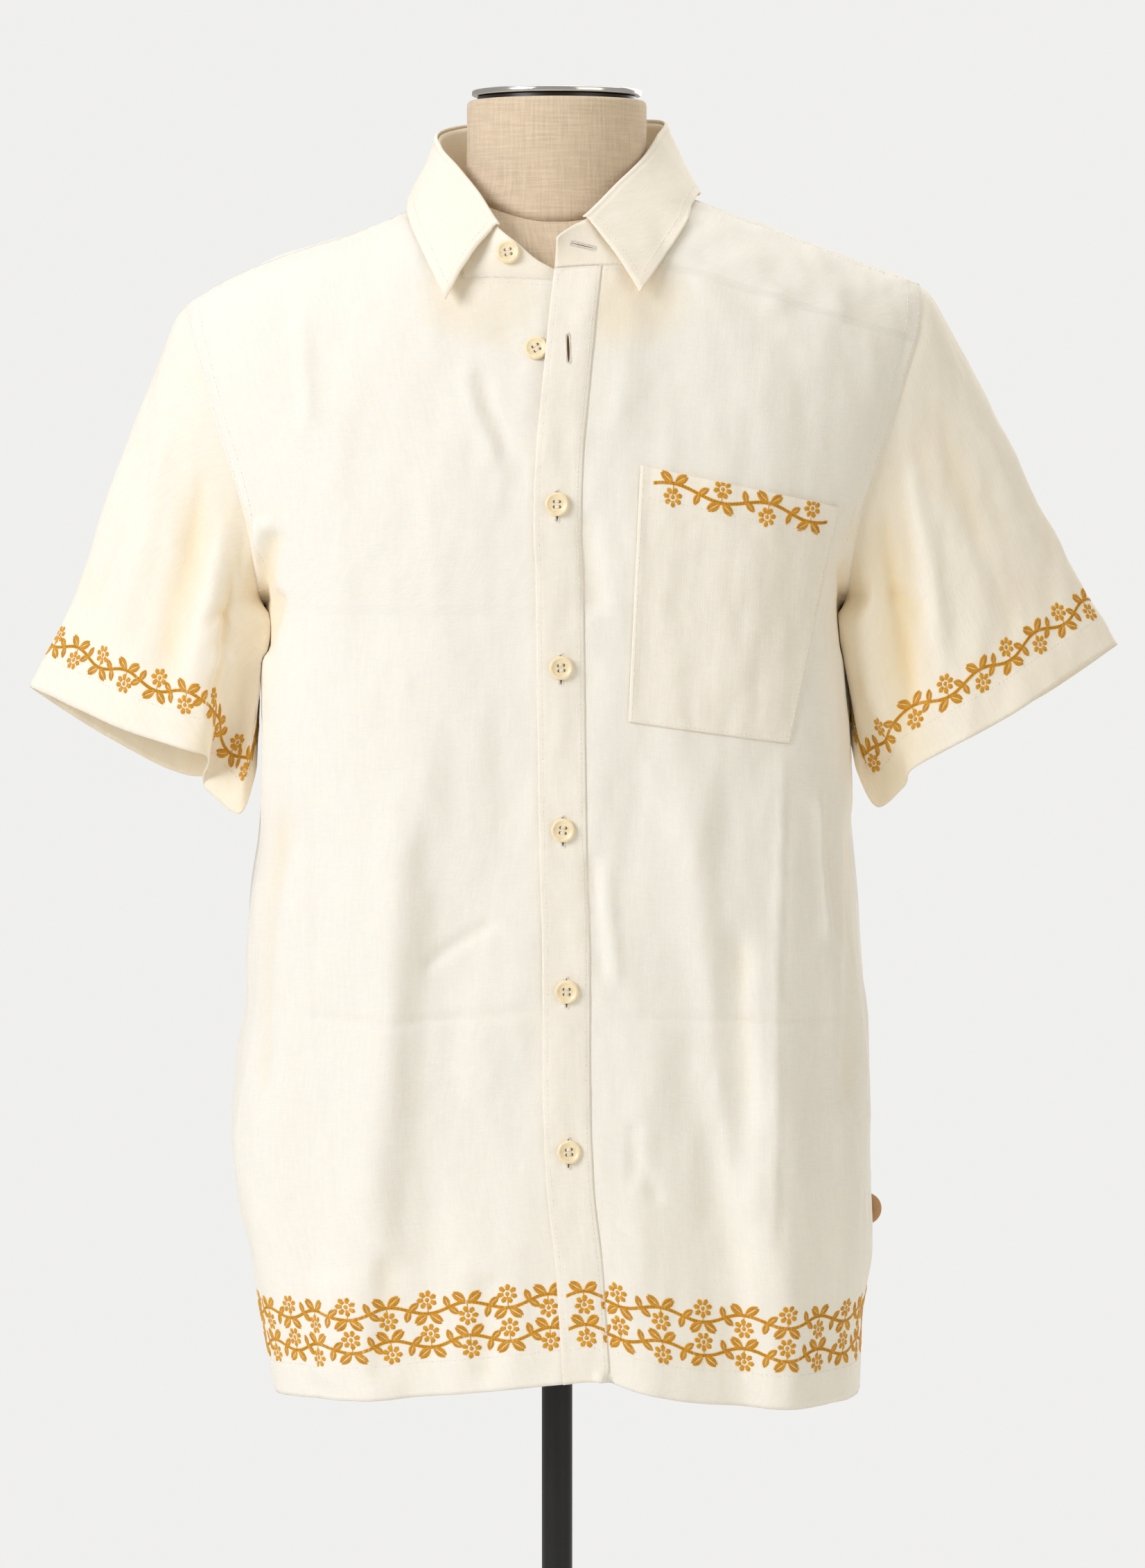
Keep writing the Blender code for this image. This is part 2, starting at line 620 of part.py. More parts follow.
def fronts():
    """Grids of the wearer's right front and of the left one, lapped over it."""
    right = drawn_back(front_grid(-1), rows=(-1,), cols=(-1,), gap=2 * SEAM_GAP)
    left = drawn_back(front_grid(1), rows=(-1,), cols=(-1,), gap=2 * SEAM_GAP)
    return right, lifted(left, lap_height)


def add_fronts(right, left):
    front_right = add_wall("front_right", mirrored_columns(right), "cloth")
    front_left = add_wall("front_left", left, "cloth")
    band = lifted([line[:3] for line in left[:BAND_ROWS + 1]], LAY_GAP + CLOTH)
    band = drawn_back(band, rows=(-1,), gap=BAND_SHORT)
    return front_right, front_left, add_wall("button_band", band, "cloth_warm")


def back_seam_u(hand):
    """Length up the armhole's edge at which it meets the yoke's back seam."""
    u = 0.5 * ARCH_LENGTH
    for _ in range(6):
        u = u_at(armhole_x(hand, u), YOKE_BACK_Z)
    return u


def back_columns():
    """The columns that the back and the yoke share, as places across from -1 to 1."""
    spread = side_spread(BACK_SPREAD)
    return [-share for share in reversed(spread[1:])] + spread


def yoke_grid():
    """The yoke from one armhole to the other, its rows from the front seam over to the back."""
    shares = back_columns()
    middle = len(shares) // 2
    grid = []
    for down in YOKE_SHARES:
        line = []
        for number, share in enumerate(shares):
            hand = -1 if share < 0 else 1
            seam_u = back_seam_u(hand)
            foot_x = share * abs(armhole_x(hand, seam_u))
            foot_past = ARCH_LENGTH - u_at(foot_x, YOKE_BACK_Z)
            outward = abs(number - middle)
            if outward >= YOKE_NECK_STEPS:
                part = (outward - YOKE_NECK_STEPS) / (middle - YOKE_NECK_STEPS)
                neck_x = BACK_NECK[0][1]
                x = hand * (neck_x + (abs(armhole_x(hand, SEAM_U)) - neck_x) * part)
                past = -YOKE_FORWARD
            else:
                part = 1 - outward / YOKE_NECK_STEPS
                x, past = hand * along(BACK_NECK, part, 1), along(BACK_NECK, part, 2)
            place = past + (foot_past - past) * down
            across = x + (foot_x - x) * down
            if outward == middle:
                across = armhole_x(hand, ARCH_LENGTH - abs(place))
            line.append(yoke_point(across, place))
        grid.append(line)
    return grid


def back_grid():
    """The back: rows up from the hem to the yoke, columns from one side to the other."""
    shares = back_columns()
    grid = []
    for level in steps(0, 1, LOWER_STEPS):
        line = []
        for share in shares:
            hand = -1 if share < 0 else 1
            u = hem_u(0.19 * share, BACK) * (1 - level)
            line.append(body_point(share * half_width(hand, ARMPIT_Z + u), u, BACK))
        grid.append(line)
    for level in BACK_SHARES[1:]:
        line = []
        for share in shares:
            hand = -1 if share < 0 else 1
            seam_u = back_seam_u(hand)
            top_u = u_at(share * abs(armhole_x(hand, seam_u)), YOKE_BACK_Z)
            x = share * abs(armhole_x(hand, seam_u * level))
            line.append(body_point(x, top_u * level, BACK))
        grid.append(line)
    return grid


def add_back_and_yoke(yoke):
    back = drawn_back(back_grid(), rows=(-1,), cols=(0, -1), gap=3 * SEAM_GAP)
    return (add_wall("back", mirrored_columns(back), "cloth"),
            add_wall("yoke", yoke, "cloth"))


def armhole_ring(hand):
    """Places round the armhole with their points, from the ridge over the front and back up."""
    seam_past = ARCH_LENGTH - back_seam_u(hand)
    past = [-YOKE_FORWARD + (seam_past + YOKE_FORWARD) * share for share in YOKE_SHARES]
    ridge = min(range(len(past)), key=lambda n: abs(past[n]))

    def edge(u, side):
        return body_point(armhole_x(hand, u), u, side)

    front = [edge(ARCH_LENGTH - abs(past[n]), FRONT if past[n] < 0 else BACK)
             for n in range(ridge, 0, -1)]
    front += [edge(u, FRONT) for u in reversed(FRONT_ARM_U)]
    seam_u = ARCH_LENGTH - seam_past
    back = [edge(seam_u * level, BACK) for level in BACK_SHARES]
    back += [edge(ARCH_LENGTH - past[n], BACK) for n in range(len(past) - 2, ridge - 1, -1)]
    ring = []
    for points, start in ((front, 0.0), (back, 0.5)):
        lengths = [0.0]
        for n in range(1, len(points)):
            lengths.append(lengths[-1] + (points[n] - points[n - 1]).length)
        ring += [(start + 0.5 * length / lengths[-1], point)
                 for length, point in zip(lengths[:-1], points)]
    return ring


def sleeve_grid(hand, body_tree):
    """The sleeve: rows from the armhole to the hem, columns round it."""
    hem = SLEEVE_HEM_RIGHT if hand < 0 else SLEEVE_HEM_LEFT
    ring = armhole_ring(hand)
    for row in hem:
        nearest = min(range(len(ring)), key=lambda n: abs(ring[n][0] - row[0]))
        ring[nearest] = (row[0], ring[nearest][1])
    grid = []
    for share in SLEEVE_SHARES:
        line = []
        for place, start in ring:
            end = along_loop(hem, place)
            way = end - start
            point = start + way * share
            crown = max(math.cos(2 * math.pi * place), 0.0)
            point += Vector((hand * 0.87, 0, 0.49)) * along(SLEEVE_CROWN, share) * crown
            under = smooth(1 - abs(place - 0.5) / 0.24)
            point.x += hand * UNDERARM_GAP * under * (1 - share)
            if share == 0:
                point += way.normalized() * SLEEVE_GAP
            elif point.z < ARMPIT_Z - 0.005:
                centre = Vector((0, point.y, point.z))
                point = kept_clear(point, body_tree, centre, SLEEVE_CLEAR * min(3 * share, 1.0))
            line.append(point)
        grid.append(line if hand > 0 else line[::-1])
    return grid


def add_sleeves(front_right, front_left, back):
    right = sleeve_grid(-1, tree_of(front_right, back))
    add_wall("sleeve_right", right, "cloth_warm", around=True)
    left = sleeve_grid(1, tree_of(front_left, back))
    add_wall("sleeve_left", left, "cloth_warm", around=True)


def neck_line(right, left, yoke):
    """The neckline's own points, from the right front's edge round to the left front's."""
    line = [right[BAND_ROWS][j] for j in range(NECK_COLUMN[-1])]
    line += [right[i][NECK_COLUMN[-1]] for i in range(BAND_ROWS, len(right) - 1)]
    middle = len(yoke[0]) // 2
    line += yoke[0][middle - YOKE_NECK_STEPS:middle + YOKE_NECK_STEPS + 1]
    line += [left[i][NECK_COLUMN[1]] for i in range(len(left) - 2, BAND_ROWS - 1, -1)]
    line += [left[BAND_ROWS][j] for j in range(NECK_COLUMN[1] - 1, -1, -1)]
    return line


def point_on(line, place):
    """The point at a share of the length of a line of points."""
    lengths = [0.0]
    for before, after in zip(line, line[1:]):
        lengths.append(lengths[-1] + (after - before).length)
    reach = place * lengths[-1]
    n = max(k for k in range(len(line) - 1) if lengths[k] <= reach)
    share = (reach - lengths[n]) / (lengths[n + 1] - lengths[n])
    return line[n].lerp(line[n + 1], share)


def stand_top(place):
    return along_path(STAND_TOP, place)


def outward_at(place):
    """Level direction out of the collar at a place round it."""
    way = stand_top(min(place + 0.01, 1)) - stand_top(max(place - 0.01, 0))
    way.z = 0
    return Vector((0, 0, 1)).cross(way).normalized()


def add_collar(neckline_points, *panels):
    """The stand on the neckline, and the leaf folded over its upper edge."""
    leaf_places = steps(LEAF_EDGE[0][0], LEAF_EDGE[-1][0], LEAF_STEPS)
    places = steps(0, leaf_places[0], 4)[:-1] + leaf_places + steps(leaf_places[-1], 1, 4)[1:]
    stand = []
    for share in steps(0, 1, STAND_ROWS):
        line = []
        for place in places:
            along_neck = STAND_START + (1 - STAND_START) * along(STAND_TOP, place, 4)
            foot = point_on(neckline_points, along_neck)
            foot += (Vector((-foot.x, NECK_CENTRE_Y - foot.y, 0)).normalized()
                     + Vector((0, 0, 1))) * LAY_GAP
            line.append(foot + (stand_top(place) - foot) * share)
        stand.append(line[::-1])
    stand_wall = add_wall("collar_stand", stand, "cloth_warm")
    under = tree_of(stand_wall, *panels)

    foot_line, top_line = stand[0][::-1], stand[-1][::-1]
    facing = grid_normals(stand)[-1][::-1]
    leaf = [[] for _ in LEAF_CREST]
    for number in range(4, 5 + LEAF_STEPS):
        rise = (top_line[number] - foot_line[number]).normalized()
        for row, (out, up) in zip(leaf, LEAF_CREST):
            row.append(top_line[number] + facing[number] * out + rise * up)
    crest = leaf[-1]
    for share in steps(0, 1, LEAF_ROWS)[1:]:
        line = []
        for start, place in zip(crest, leaf_places):
            point = start.lerp(along_path(LEAF_EDGE, place), share)
            point += outward_at(place) * LEAF_BULGE * math.sin(math.pi * share)
            centre = Vector((0, 0, point.z - LEAF_CENTRE_DROP))
            line.append(kept_clear(point, under, centre, CLOTH + LEAF_CLEAR))
        leaf.append(line)
    add_wall("collar_leaf", leaf, "cloth_warm")
    return stand_wall


def on_front(tree, x, z):
    """The outermost point of a body and its normal there, seen from straight ahead."""
    return tree.ray_cast(Vector((x, -1, z)), Vector((0, 1, 0)))[:2]


def add_pocket(front_left):
    tree = tree_of(front_left)
    grid = []
    for up in steps(0, 1, POCKET_ROWS):
        line = []
        for across in steps(0, 1, POCKET_STEPS):
            corners = [Vector((*spot, 0)) for spot in (*POCKET_FOOT, *POCKET_TOP)]
            foot = corners[0].lerp(corners[1], across)
            spot = foot.lerp(corners[2].lerp(corners[3], across), up)
            line.append(on_front(tree, spot.x, spot.y)[0])
        grid.append(line)
    add_wall("pocket", lifted(grid, POCKET_GAP + CLOTH), "cloth_warm")


def button_profile():
    """Radius and height: a flat back, a round rim and a dished face."""
    radius, thick = BUTTON_RADIUS, BUTTON_THICKNESS
    return ((0.80 * radius, 0.0), (radius, 0.30 * thick), (radius, 0.70 * thick),
            (0.88 * radius, thick), (0.74 * radius, 0.96 * thick), (0.62 * radius, 0.66 * thick))


def add_button(name, wall_tree, x, z):
    point, axis = on_front(wall_tree, x, z)
    add_turned(name, button_profile(), point + axis * LAY_GAP, axis, "button", sides=14)


def add_buttons(front_right, band, stand):
    """Five fastened through the band, one undone below the neck and one on the stand."""
    band_tree = tree_of(band)
    for number in range(BUTTONS_FASTENED):
        z = BUTTON_TOP_Z - number * BUTTON_PITCH
        add_button(f"button_{number + 1}", band_tree, along(BAND_EDGE, z) + 0.5 * BAND_WIDTH, z)
    add_button("button_open", tree_of(front_right), *OPEN_BUTTON)
    add_button("button_neck", tree_of(stand), *NECK_BUTTON)


def add_tab():
    """A round tab held in the side seam, of which the outer part shows."""
    x = half_width(1, TAB_Z) + SEAM_GAP
    centre = x + TAB_REACH - TAB_RADIUS
    half_angle = math.acos((x - centre) / TAB_RADIUS)
    spots = [(centre + TAB_RADIUS * math.cos(angle), TAB_Z + TAB_RADIUS * math.sin(angle))
             for angle in steps(-half_angle, half_angle, 14)]
    count = len(spots)
    points = [Vector((px, -0.5 * TAB_WALL, pz)) for px, pz in spots]
    points += [Vector((px, 0.5 * TAB_WALL, pz)) for px, pz in spots]
    faces = [tuple(range(count)), tuple(reversed(range(count, 2 * count)))]
    for n in range(count):
        after = (n + 1) % count
        faces.append((n, after, count + after, count + n))
    add_object("side_tab", points, faces, "tab")


def form_grid(side):
    """One side of the form's torso: rows up to the ridge, columns across."""
    low_u = FORM_FOOT_Z - ARMPIT_Z
    rows = steps(low_u, 0, FORM_LOWER_STEPS) + steps(0, ARCH_LENGTH, FORM_UPPER_STEPS)[1:]
    spread = side_spread(FORM_SPREAD)
    shares = [-share for share in reversed(spread[1:])] + spread
    grid = []
    for u in rows:
        line = []
        inset = along(FORM_INSET, u)
        for share in shares:
            hand = -1 if share < 0 else 1
            if u <= 0:
                x = share * (half_width(hand, ARMPIT_Z + u) - inset)
            else:
                x = share * along(FORM_PLATE, u)
            line.append(body_point(x, u, side, inset, folded=False))
        grid.append(line)
    return grid


def add_form():
    front, back = form_grid(FRONT), form_grid(BACK)
    rows, cols = len(front), len(front[0])
    points = [p for line in front for p in line] + [p for line in back for p in line]
    behind = rows * cols
    faces = []
    for i in range(rows - 1):
        for j in range(cols - 1):
            face = (i * cols + j, i * cols + j + 1, (i + 1) * cols + j + 1, (i + 1) * cols + j)
            faces.append(face)
            faces.append(tuple(behind + corner for corner in reversed(face)))
        for j in (0, cols - 1):
            low, high = i * cols + j, (i + 1) * cols + j
            faces.append((low, high, behind + high, behind + low))
    faces.append(tuple(range(cols)) + tuple(behind + j for j in range(cols - 1, -1, -1)))
    torso = add_object("form_torso", points, faces, "linen")
    add_neck(tree_of(torso))


def add_neck(torso_tree):
    """The neck: its underside follows the torso's top, just clear of it."""
    sides = 32
    rings = []
    for share, gap in ((0.0, 0.004), (0.5, 0.004), (0.82, 0.002), (1.0, NECK_SEAT_GAP)):
        rings.append([])
        for k in range(sides):
            angle = 2 * math.pi * k / sides
            spot = Vector((NECK_FLARE * NECK_HALF_WIDTH * share * math.cos(angle),
                           NECK_CENTRE_Y + NECK_FLARE * NECK_HALF_DEPTH * share * math.sin(angle), 2))
            hit = torso_tree.ray_cast(spot, Vector((0, 0, -1)))[0]
            rings[-1].append(hit + Vector((0, 0, gap)))
    foot = rings[-1]
    for level, flare in ((0.25, 1.02), (0.6, 1.0), (0.94, 1.0), (1.0, 0.97)):
        ring = []
        for k in range(sides):
            angle = 2 * math.pi * k / sides
            ring.append(Vector((flare * NECK_HALF_WIDTH * math.cos(angle),
                                NECK_CENTRE_Y + flare * NECK_HALF_DEPTH * math.sin(angle),
                                foot[k].z + (NECK_TOP_Z - foot[k].z) * level)))
        rings.append(ring)
    points = [point for ring in rings for point in ring]
    faces = []
    for r in range(len(rings) - 1):
        for k in range(sides):
            after = (k + 1) % sides
            faces.append((r * sides + k, r * sides + after, (r + 1) * sides + after,
                          (r + 1) * sides + k))
    faces.append(tuple(range((len(rings) - 1) * sides, len(rings) * sides)))
    add_object("form_neck", points, faces, "linen")


def add_stand():
    """Neck plates above, and below the pole, its socket and the round base."""
    top = NECK_TOP_Z + SEAM_GAP
    centre = (0, NECK_CENTRE_Y)
    add_turned("neck_gap_plate", ((GAP_PLATE_RADIUS, 0), (GAP_PLATE_RADIUS, GAP_PLATE_THICKNESS)),
               (*centre, top), (0, 0, 1), "black_metal", sides=40)
    top += GAP_PLATE_THICKNESS + SEAM_GAP
    edge = 0.0012
    add_turned("neck_plate", ((PLATE_RADIUS - edge, 0), (PLATE_RADIUS, edge),
                              (PLATE_RADIUS, PLATE_THICKNESS - edge),
                              (PLATE_RADIUS - edge, PLATE_THICKNESS)),
               (*centre, top), (0, 0, 1), "chrome", sides=40)
    add_turned("base_plate", ((BASE_RADIUS, 0), (BASE_RADIUS, BASE_THICKNESS - 0.003),
                              (BASE_RADIUS - 0.003, BASE_THICKNESS)),
               (0, 0, 0), (0, 0, 1), "black_metal", sides=64)
    socket_foot = BASE_THICKNESS + SEAM_GAP
    add_turned("pole_socket", ((SOCKET_RADIUS + 0.008, 0), (SOCKET_RADIUS + 0.008, 0.006),
                               (SOCKET_RADIUS, 0.012), (SOCKET_RADIUS, SOCKET_HEIGHT - 0.004),
                               (SOCKET_RADIUS - 0.004, SOCKET_HEIGHT)),
               (0, 0, socket_foot), (0, 0, 1), "black_metal", sides=32)
    pole_foot = socket_foot + SOCKET_HEIGHT + SEAM_GAP
    pole_top = FORM_FOOT_Z - SEAM_GAP
    add_turned("pole", ((POLE_RADIUS, 0), (POLE_RADIUS, pole_top - pole_foot)),
               (0, 0, pole_foot), (0, 0, 1), "black_metal", sides=24)


def add_shirt():
    right, left = fronts()
    yoke_points = drawn_back(yoke_grid(), rows=(0,), cols=(0, -1))
    front_right, front_left, band = add_fronts(right, left)
    back, yoke = add_back_and_yoke(yoke_points)
    add_sleeves(front_right, front_left, back)
    neckline_points = neck_line(right, left, yoke_points)
    stand = add_collar(neckline_points, front_right, front_left, yoke)
    add_pocket(front_left)
    add_buttons(front_right, band, stand)
    add_tab()


add_shirt()
add_form()
add_stand()
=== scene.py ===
"""Short-sleeve shirt on a limbless dress form and its stand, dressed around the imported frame.

Lengths are in metres, +Z is up and the shirt faces -Y, so +X is the wearer's left. The cloth is
one master surface, body_point, which takes a place across (x) and a length up the cloth (u).
Each panel is a stretch of it, drawn finely, with its creases pressed in along the normals.
"""

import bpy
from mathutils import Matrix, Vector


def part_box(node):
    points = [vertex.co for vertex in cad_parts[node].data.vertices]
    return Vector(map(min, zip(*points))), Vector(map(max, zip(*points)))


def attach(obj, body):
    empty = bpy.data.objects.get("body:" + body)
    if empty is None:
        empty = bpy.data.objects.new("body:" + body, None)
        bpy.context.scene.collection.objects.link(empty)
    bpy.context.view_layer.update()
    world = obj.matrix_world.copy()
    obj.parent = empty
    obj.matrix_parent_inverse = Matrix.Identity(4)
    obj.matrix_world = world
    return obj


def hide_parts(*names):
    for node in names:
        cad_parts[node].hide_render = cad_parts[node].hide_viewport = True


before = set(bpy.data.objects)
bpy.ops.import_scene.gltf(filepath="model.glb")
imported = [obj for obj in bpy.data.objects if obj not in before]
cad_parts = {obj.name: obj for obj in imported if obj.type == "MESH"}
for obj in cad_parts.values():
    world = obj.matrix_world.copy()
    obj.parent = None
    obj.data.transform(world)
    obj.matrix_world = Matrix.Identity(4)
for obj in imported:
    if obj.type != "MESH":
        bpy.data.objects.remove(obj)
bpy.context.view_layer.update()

import math

import bmesh
import bpy
import numpy as np
from bpy.props import FloatProperty, FloatVectorProperty, IntProperty, PointerProperty
from mathutils import Matrix, Vector, noise
from mathutils.bvhtree import BVHTree

bl_info = {
    "name": "Shirt on a dress form",
    "version": (1, 0, 0),
    "blender": (4, 5, 0),
    "location": "View3D > Sidebar > Shirt",
    "description": "Builds a short-sleeve shirt, its trim and the dress form it hangs on",
    "category": "Object",
}


def thousandths(rows):
    """A table written in thousandths, of a metre or of a share of the way."""
    return np.array(rows, float) / 1000


# Driving dimensions, in metres
CLOTH = 0.0014            # wall of one layer of cloth
LAY_GAP = 0.0006          # under a piece that lies on another
FRONT, BACK = -1, 1

ARMPIT_Z = 1.189          # the shoulders' arch starts here
ARCH_LENGTH = 0.27        # u from the armpit's level up to the shoulder ridge
ARCH_POWER = 2.8          # how square the arch over the shoulder is
SECTION_POWER = 2.6       # how square a level section is, about the armpit
SQUARE_BELOW = 3.0        # lower down, where the cloth hangs
ROUND_ABOVE = 2.35        # on the chest
YOKE_FORWARD = 0.035      # the yoke's front seam lies this far ahead of the ridge
SEAM_U = ARCH_LENGTH - YOKE_FORWARD
YOKE_BACK_Z = 1.355       # level of the yoke's back seam
CENTRE_NECK_U = {-1: 0.128, 1: 0.134}      # the neckline at the centre front, either side
NECK_RISE = {-1: 0.15, 1: 0.07}            # the rows level out within this of the centre
NECK_COLUMN = {-1: 4, 1: 3}                # the neckline turns up at this column
BAND_WIDTH = 0.03         # button band, and the lap of the fronts
LAP_LIFT = 0.0014
OPEN_LIFT = 0.0042        # further, where the fronts are left undone over a button
OPEN_FROM_Z = 1.275       # the fronts part above this

# Level sections of the body: half widths to either side, and depths ahead and behind
#   z, wearer's right (-x), wearer's left (+x), front depth, back depth
BODY = thousandths((
    (670, 177, 192.5, 121, 108),
    (705, 184.7, 194.9, 121, 108),
    (740, 191.4, 196.7, 120, 107),
    (776, 197.6, 203.2, 119, 106),
    (812, 204.2, 202.9, 119, 106),
    (857, 208.5, 201.2, 119, 106),
    (902, 203.8, 199.4, 120, 107),
    (938, 198.5, 198, 121, 108),
    (974, 198.5, 195.4, 122, 109),
    (1010, 196.8, 193.1, 123, 110),
    (1046, 191.5, 189.6, 124, 111),
    (1081, 189.5, 187.4, 125, 112),
    (1127, 189, 185.8, 127, 114),
    (1189, 188.5, 184, 128, 116),
    (1205, 193.5, 189, 128, 117),
    (1235, 206, 201, 128, 118),
    (1280, 225, 219, 127, 119),
    (1340, 244, 240, 126, 119),
    (1400, 256, 252, 125, 118),
    (1480, 260, 256, 124, 117),
))
# Shoulder ridge: height, and how far out it is there on either side
#   z, wearer's right, wearer's left
RIDGE = thousandths((
    (1464, 0, 0),
    (1459, 50, 52),
    (1448, 84, 90),
    (1435.4, 111.2, 123.2),
    (1426.6, 135.2, 148.5),
    (1417.8, 162.7, 170.7),
    (1409, 186.7, 196.5),
    (1400.2, 206.7, 222.2),
    (1391.4, 222.7, 234.7),
    (1380, 239.6, 245),
    (1350, 270, 270),
))
# Where the ridge lies, front to back
#   distance from the centre, y
RIDGE_Y = thousandths((
    (0, 30), (85, 22), (150, 10), (240, 4),
))
# Armhole edge, the same before and behind
#   u, wearer's right, wearer's left
ARMHOLE = thousandths((
    (0, 188.5, 184),
    (34, 192.5, 188),
    (55, 198.5, 194),
    (75, 206, 203),
    (108, 218, 217),
    (151.5, 229, 228),
    (192, 234, 230.4),
    (270, 235.5, 230.8),
))
# Front edge of the button band
#   z, x
BAND_EDGE = thousandths((
    (690, 5.6), (733, 2.3), (773, 0.6), (805, -3.2), (834, -6.2), (885, -8.3), (985, -8.8),
    (1038, -10.5), (1090, -11.3), (1227, -13), (1260, -14.3), (1343, -7.3), (1380, -1.2),
    (1410, -1),
))
# Hem level round the body, before and behind
#   x, front, back
HEM = thousandths((
    (-200, 686, 686), (-150, 695, 680), (-100, 699, 677), (-50, 704, 676), (0, 709, 676),
    (30, 711, 676), (60, 702, 676), (100, 695, 677), (150, 690, 680), (200, 688, 688),
))
# Neckline on either side, from the corner where it leaves its level stretch to the shoulder
#   place along it, x and u on the wearer's right, x and u on the wearer's left
NECKLINE = (
    (0.0, -0.052, 0.14, 0.044, 0.142),
    (0.2, -0.0655, 0.15, 0.062, 0.153),
    (0.4, -0.0745, 0.164, 0.074, 0.168),
    (0.6, -0.08, 0.183, 0.0805, 0.187),
    (0.8, -0.0833, 0.208, 0.0835, 0.211),
    (1.0, -0.0845, SEAM_U, 0.0845, SEAM_U),
)
# Back of the neckline, on the yoke
#   share of the way from the shoulder to the centre back, x, length past the ridge
BACK_NECK = (
    (0.0, 0.0845, -YOKE_FORWARD), (0.2, 0.085, -0.01), (0.4, 0.082, 0.02),
    (0.65, 0.062, 0.06), (0.85, 0.03, 0.078), (1.0, 0.0, 0.082),
)
# Largest hanging folds: where each runs at its top and at its foot, how wide and how proud
# (below nought is a trough), and the level where it fades out
#   side, x at 1.10, x at the hem, half width, height, top level
FOLDS = (
    (FRONT, -0.098, -0.124, 0.026, 0.0066, 1.18),
    (FRONT, -0.062, -0.088, 0.022, -0.0044, 1.12),
    (FRONT, 0.08, 0.116, 0.02, -0.008, 1.12),
    (FRONT, 0.12, 0.146, 0.022, 0.006, 1.08),
    (FRONT, 0.05, 0.054, 0.018, 0.0045, 1.02),
    (FRONT, 0.164, 0.172, 0.014, -0.006, 1.12),
    (FRONT, -0.156, -0.16, 0.018, -0.0065, 1.12),
    (BACK, -0.135, -0.142, 0.026, 0.011, 1.28),
    (BACK, -0.085, -0.09, 0.024, -0.01, 1.28),
    (BACK, -0.03, -0.034, 0.026, 0.01, 1.3),
    (BACK, 0.03, 0.032, 0.024, -0.009, 1.3),
    (BACK, 0.085, 0.094, 0.026, 0.011, 1.28),
    (BACK, 0.14, 0.146, 0.022, -0.009, 1.26),
)
# Sleeve hems as loops: place round from the shoulder, over the front, under and up the back
#   place, x, y, z
SLEEVE_HEM_RIGHT = thousandths((
    (0, -336.3, 4, 1137.3), (90, -305, -30, 1126.4), (170, -272.7, -50, 1113.9),
    (260, -230, -62, 1101), (300, -221, -53, 1097.2), (330, -224.5, -36, 1088),
    (370, -226, -20, 1078.3), (410, -218, -24, 1070), (460, -201, -38, 1060),
    (510, -193, -26, 1081), (560, -192.5, -6, 1096), (630, -199, 20, 1090), (750, -238, 38, 1079),
    (880, -290, 30, 1104),
))
SLEEVE_HEM_LEFT = thousandths((
    (0, 359.6, 4, 1165.5), (90, 322.1, -33, 1145), (180, 280.8, -52, 1120),
    (260, 250.2, -58, 1104), (340, 223, -52, 1088), (400, 220, -32, 1076), (450, 205, -24, 1063),
    (500, 194, -30, 1079), (550, 190, -22, 1093), (610, 189, 4, 1115), (700, 206, 30, 1104),
    (800, 248, 42, 1101), (910, 310, 30, 1129),
))
# Collar stand: its upper edge from the wearer's right end round the back to the left end
#   place, x, y, z, share of the neckline below it
STAND_TOP = thousandths((
    (0, 6, -92.5, 1399, 0), (30, -11, -93.5, 1407.5, 50), (70, -23, -92.5, 1417.5, 90),
    (120, -36.5, -84, 1429, 140), (200, -50, -56, 1450, 215), (270, -62.5, -25, 1466.5, 275),
    (340, -73.5, 8, 1481, 340), (400, -74, 40, 1493, 400), (450, -48, 69, 1500, 460),
    (500, 0, 80, 1502, 520), (550, 46, 70, 1502, 580), (600, 68, 40, 1499, 640),
    (660, 64.5, 6, 1488, 700), (730, 55, -24.5, 1472, 770), (800, 40, -56, 1456, 830),
    (880, 20, -86, 1435, 900), (940, 10, -98, 1429, 950), (1000, 1, -105, 1422, 1000),
))
# Collar leaf: the free edge from the wearer's right point round the back to the left point
#   place on the stand above it, x, y, z
LEAF_EDGE = thousandths((
    (120, -68.3, -111, 1383.9), (150, -82.5, -81, 1412), (215, -93.5, -42, 1437),
    (285, -95, -5, 1448), (350, -93, 40, 1450), (410, -72, 76, 1450), (500, 0, 99, 1450),
    (590, 72, 76, 1450), (650, 91, 40, 1454), (715, 90, -2, 1453), (785, 84.5, -40, 1443),
    (845, 70, -81, 1415), (890, 52, -111, 1387.7),
))
# Pocket corners on the wearer's left front, with its slight lean
#   x, z
POCKET_TOP = ((0.0515, 1.2813), (0.1754, 1.2551))
POCKET_FOOT = ((0.0442, 1.1235), (0.1448, 1.1086))

BUTTON_RADIUS = 0.0074
BUTTON_THICKNESS = 0.0028
BUTTON_TOP_Z = 1.2573     # highest fastened button
BUTTON_PITCH = 0.1004
BUTTONS_FASTENED = 5
OPEN_BUTTON = (-0.012, 1.3529)      # x and z of the undone one, on the wearer's right front
NECK_BUTTON = (-0.0295, 1.4125)    # x and z of the one on the stand
TAB_RADIUS = 0.0105       # round tab in the left side seam

# The form's own sizes
FORM_GAP = 0.003          # under the cloth on the shoulders, whose facets sink a little
FORM_FOOT_Z = 0.8
NECK_TOP_Z = 1.5115
NECK_HALF_WIDTH = 0.0572
NECK_HALF_DEPTH = 0.06
NECK_CENTRE_Y = 0.004
SOCKET_RADIUS = 0.021
SOCKET_HEIGHT = 0.055
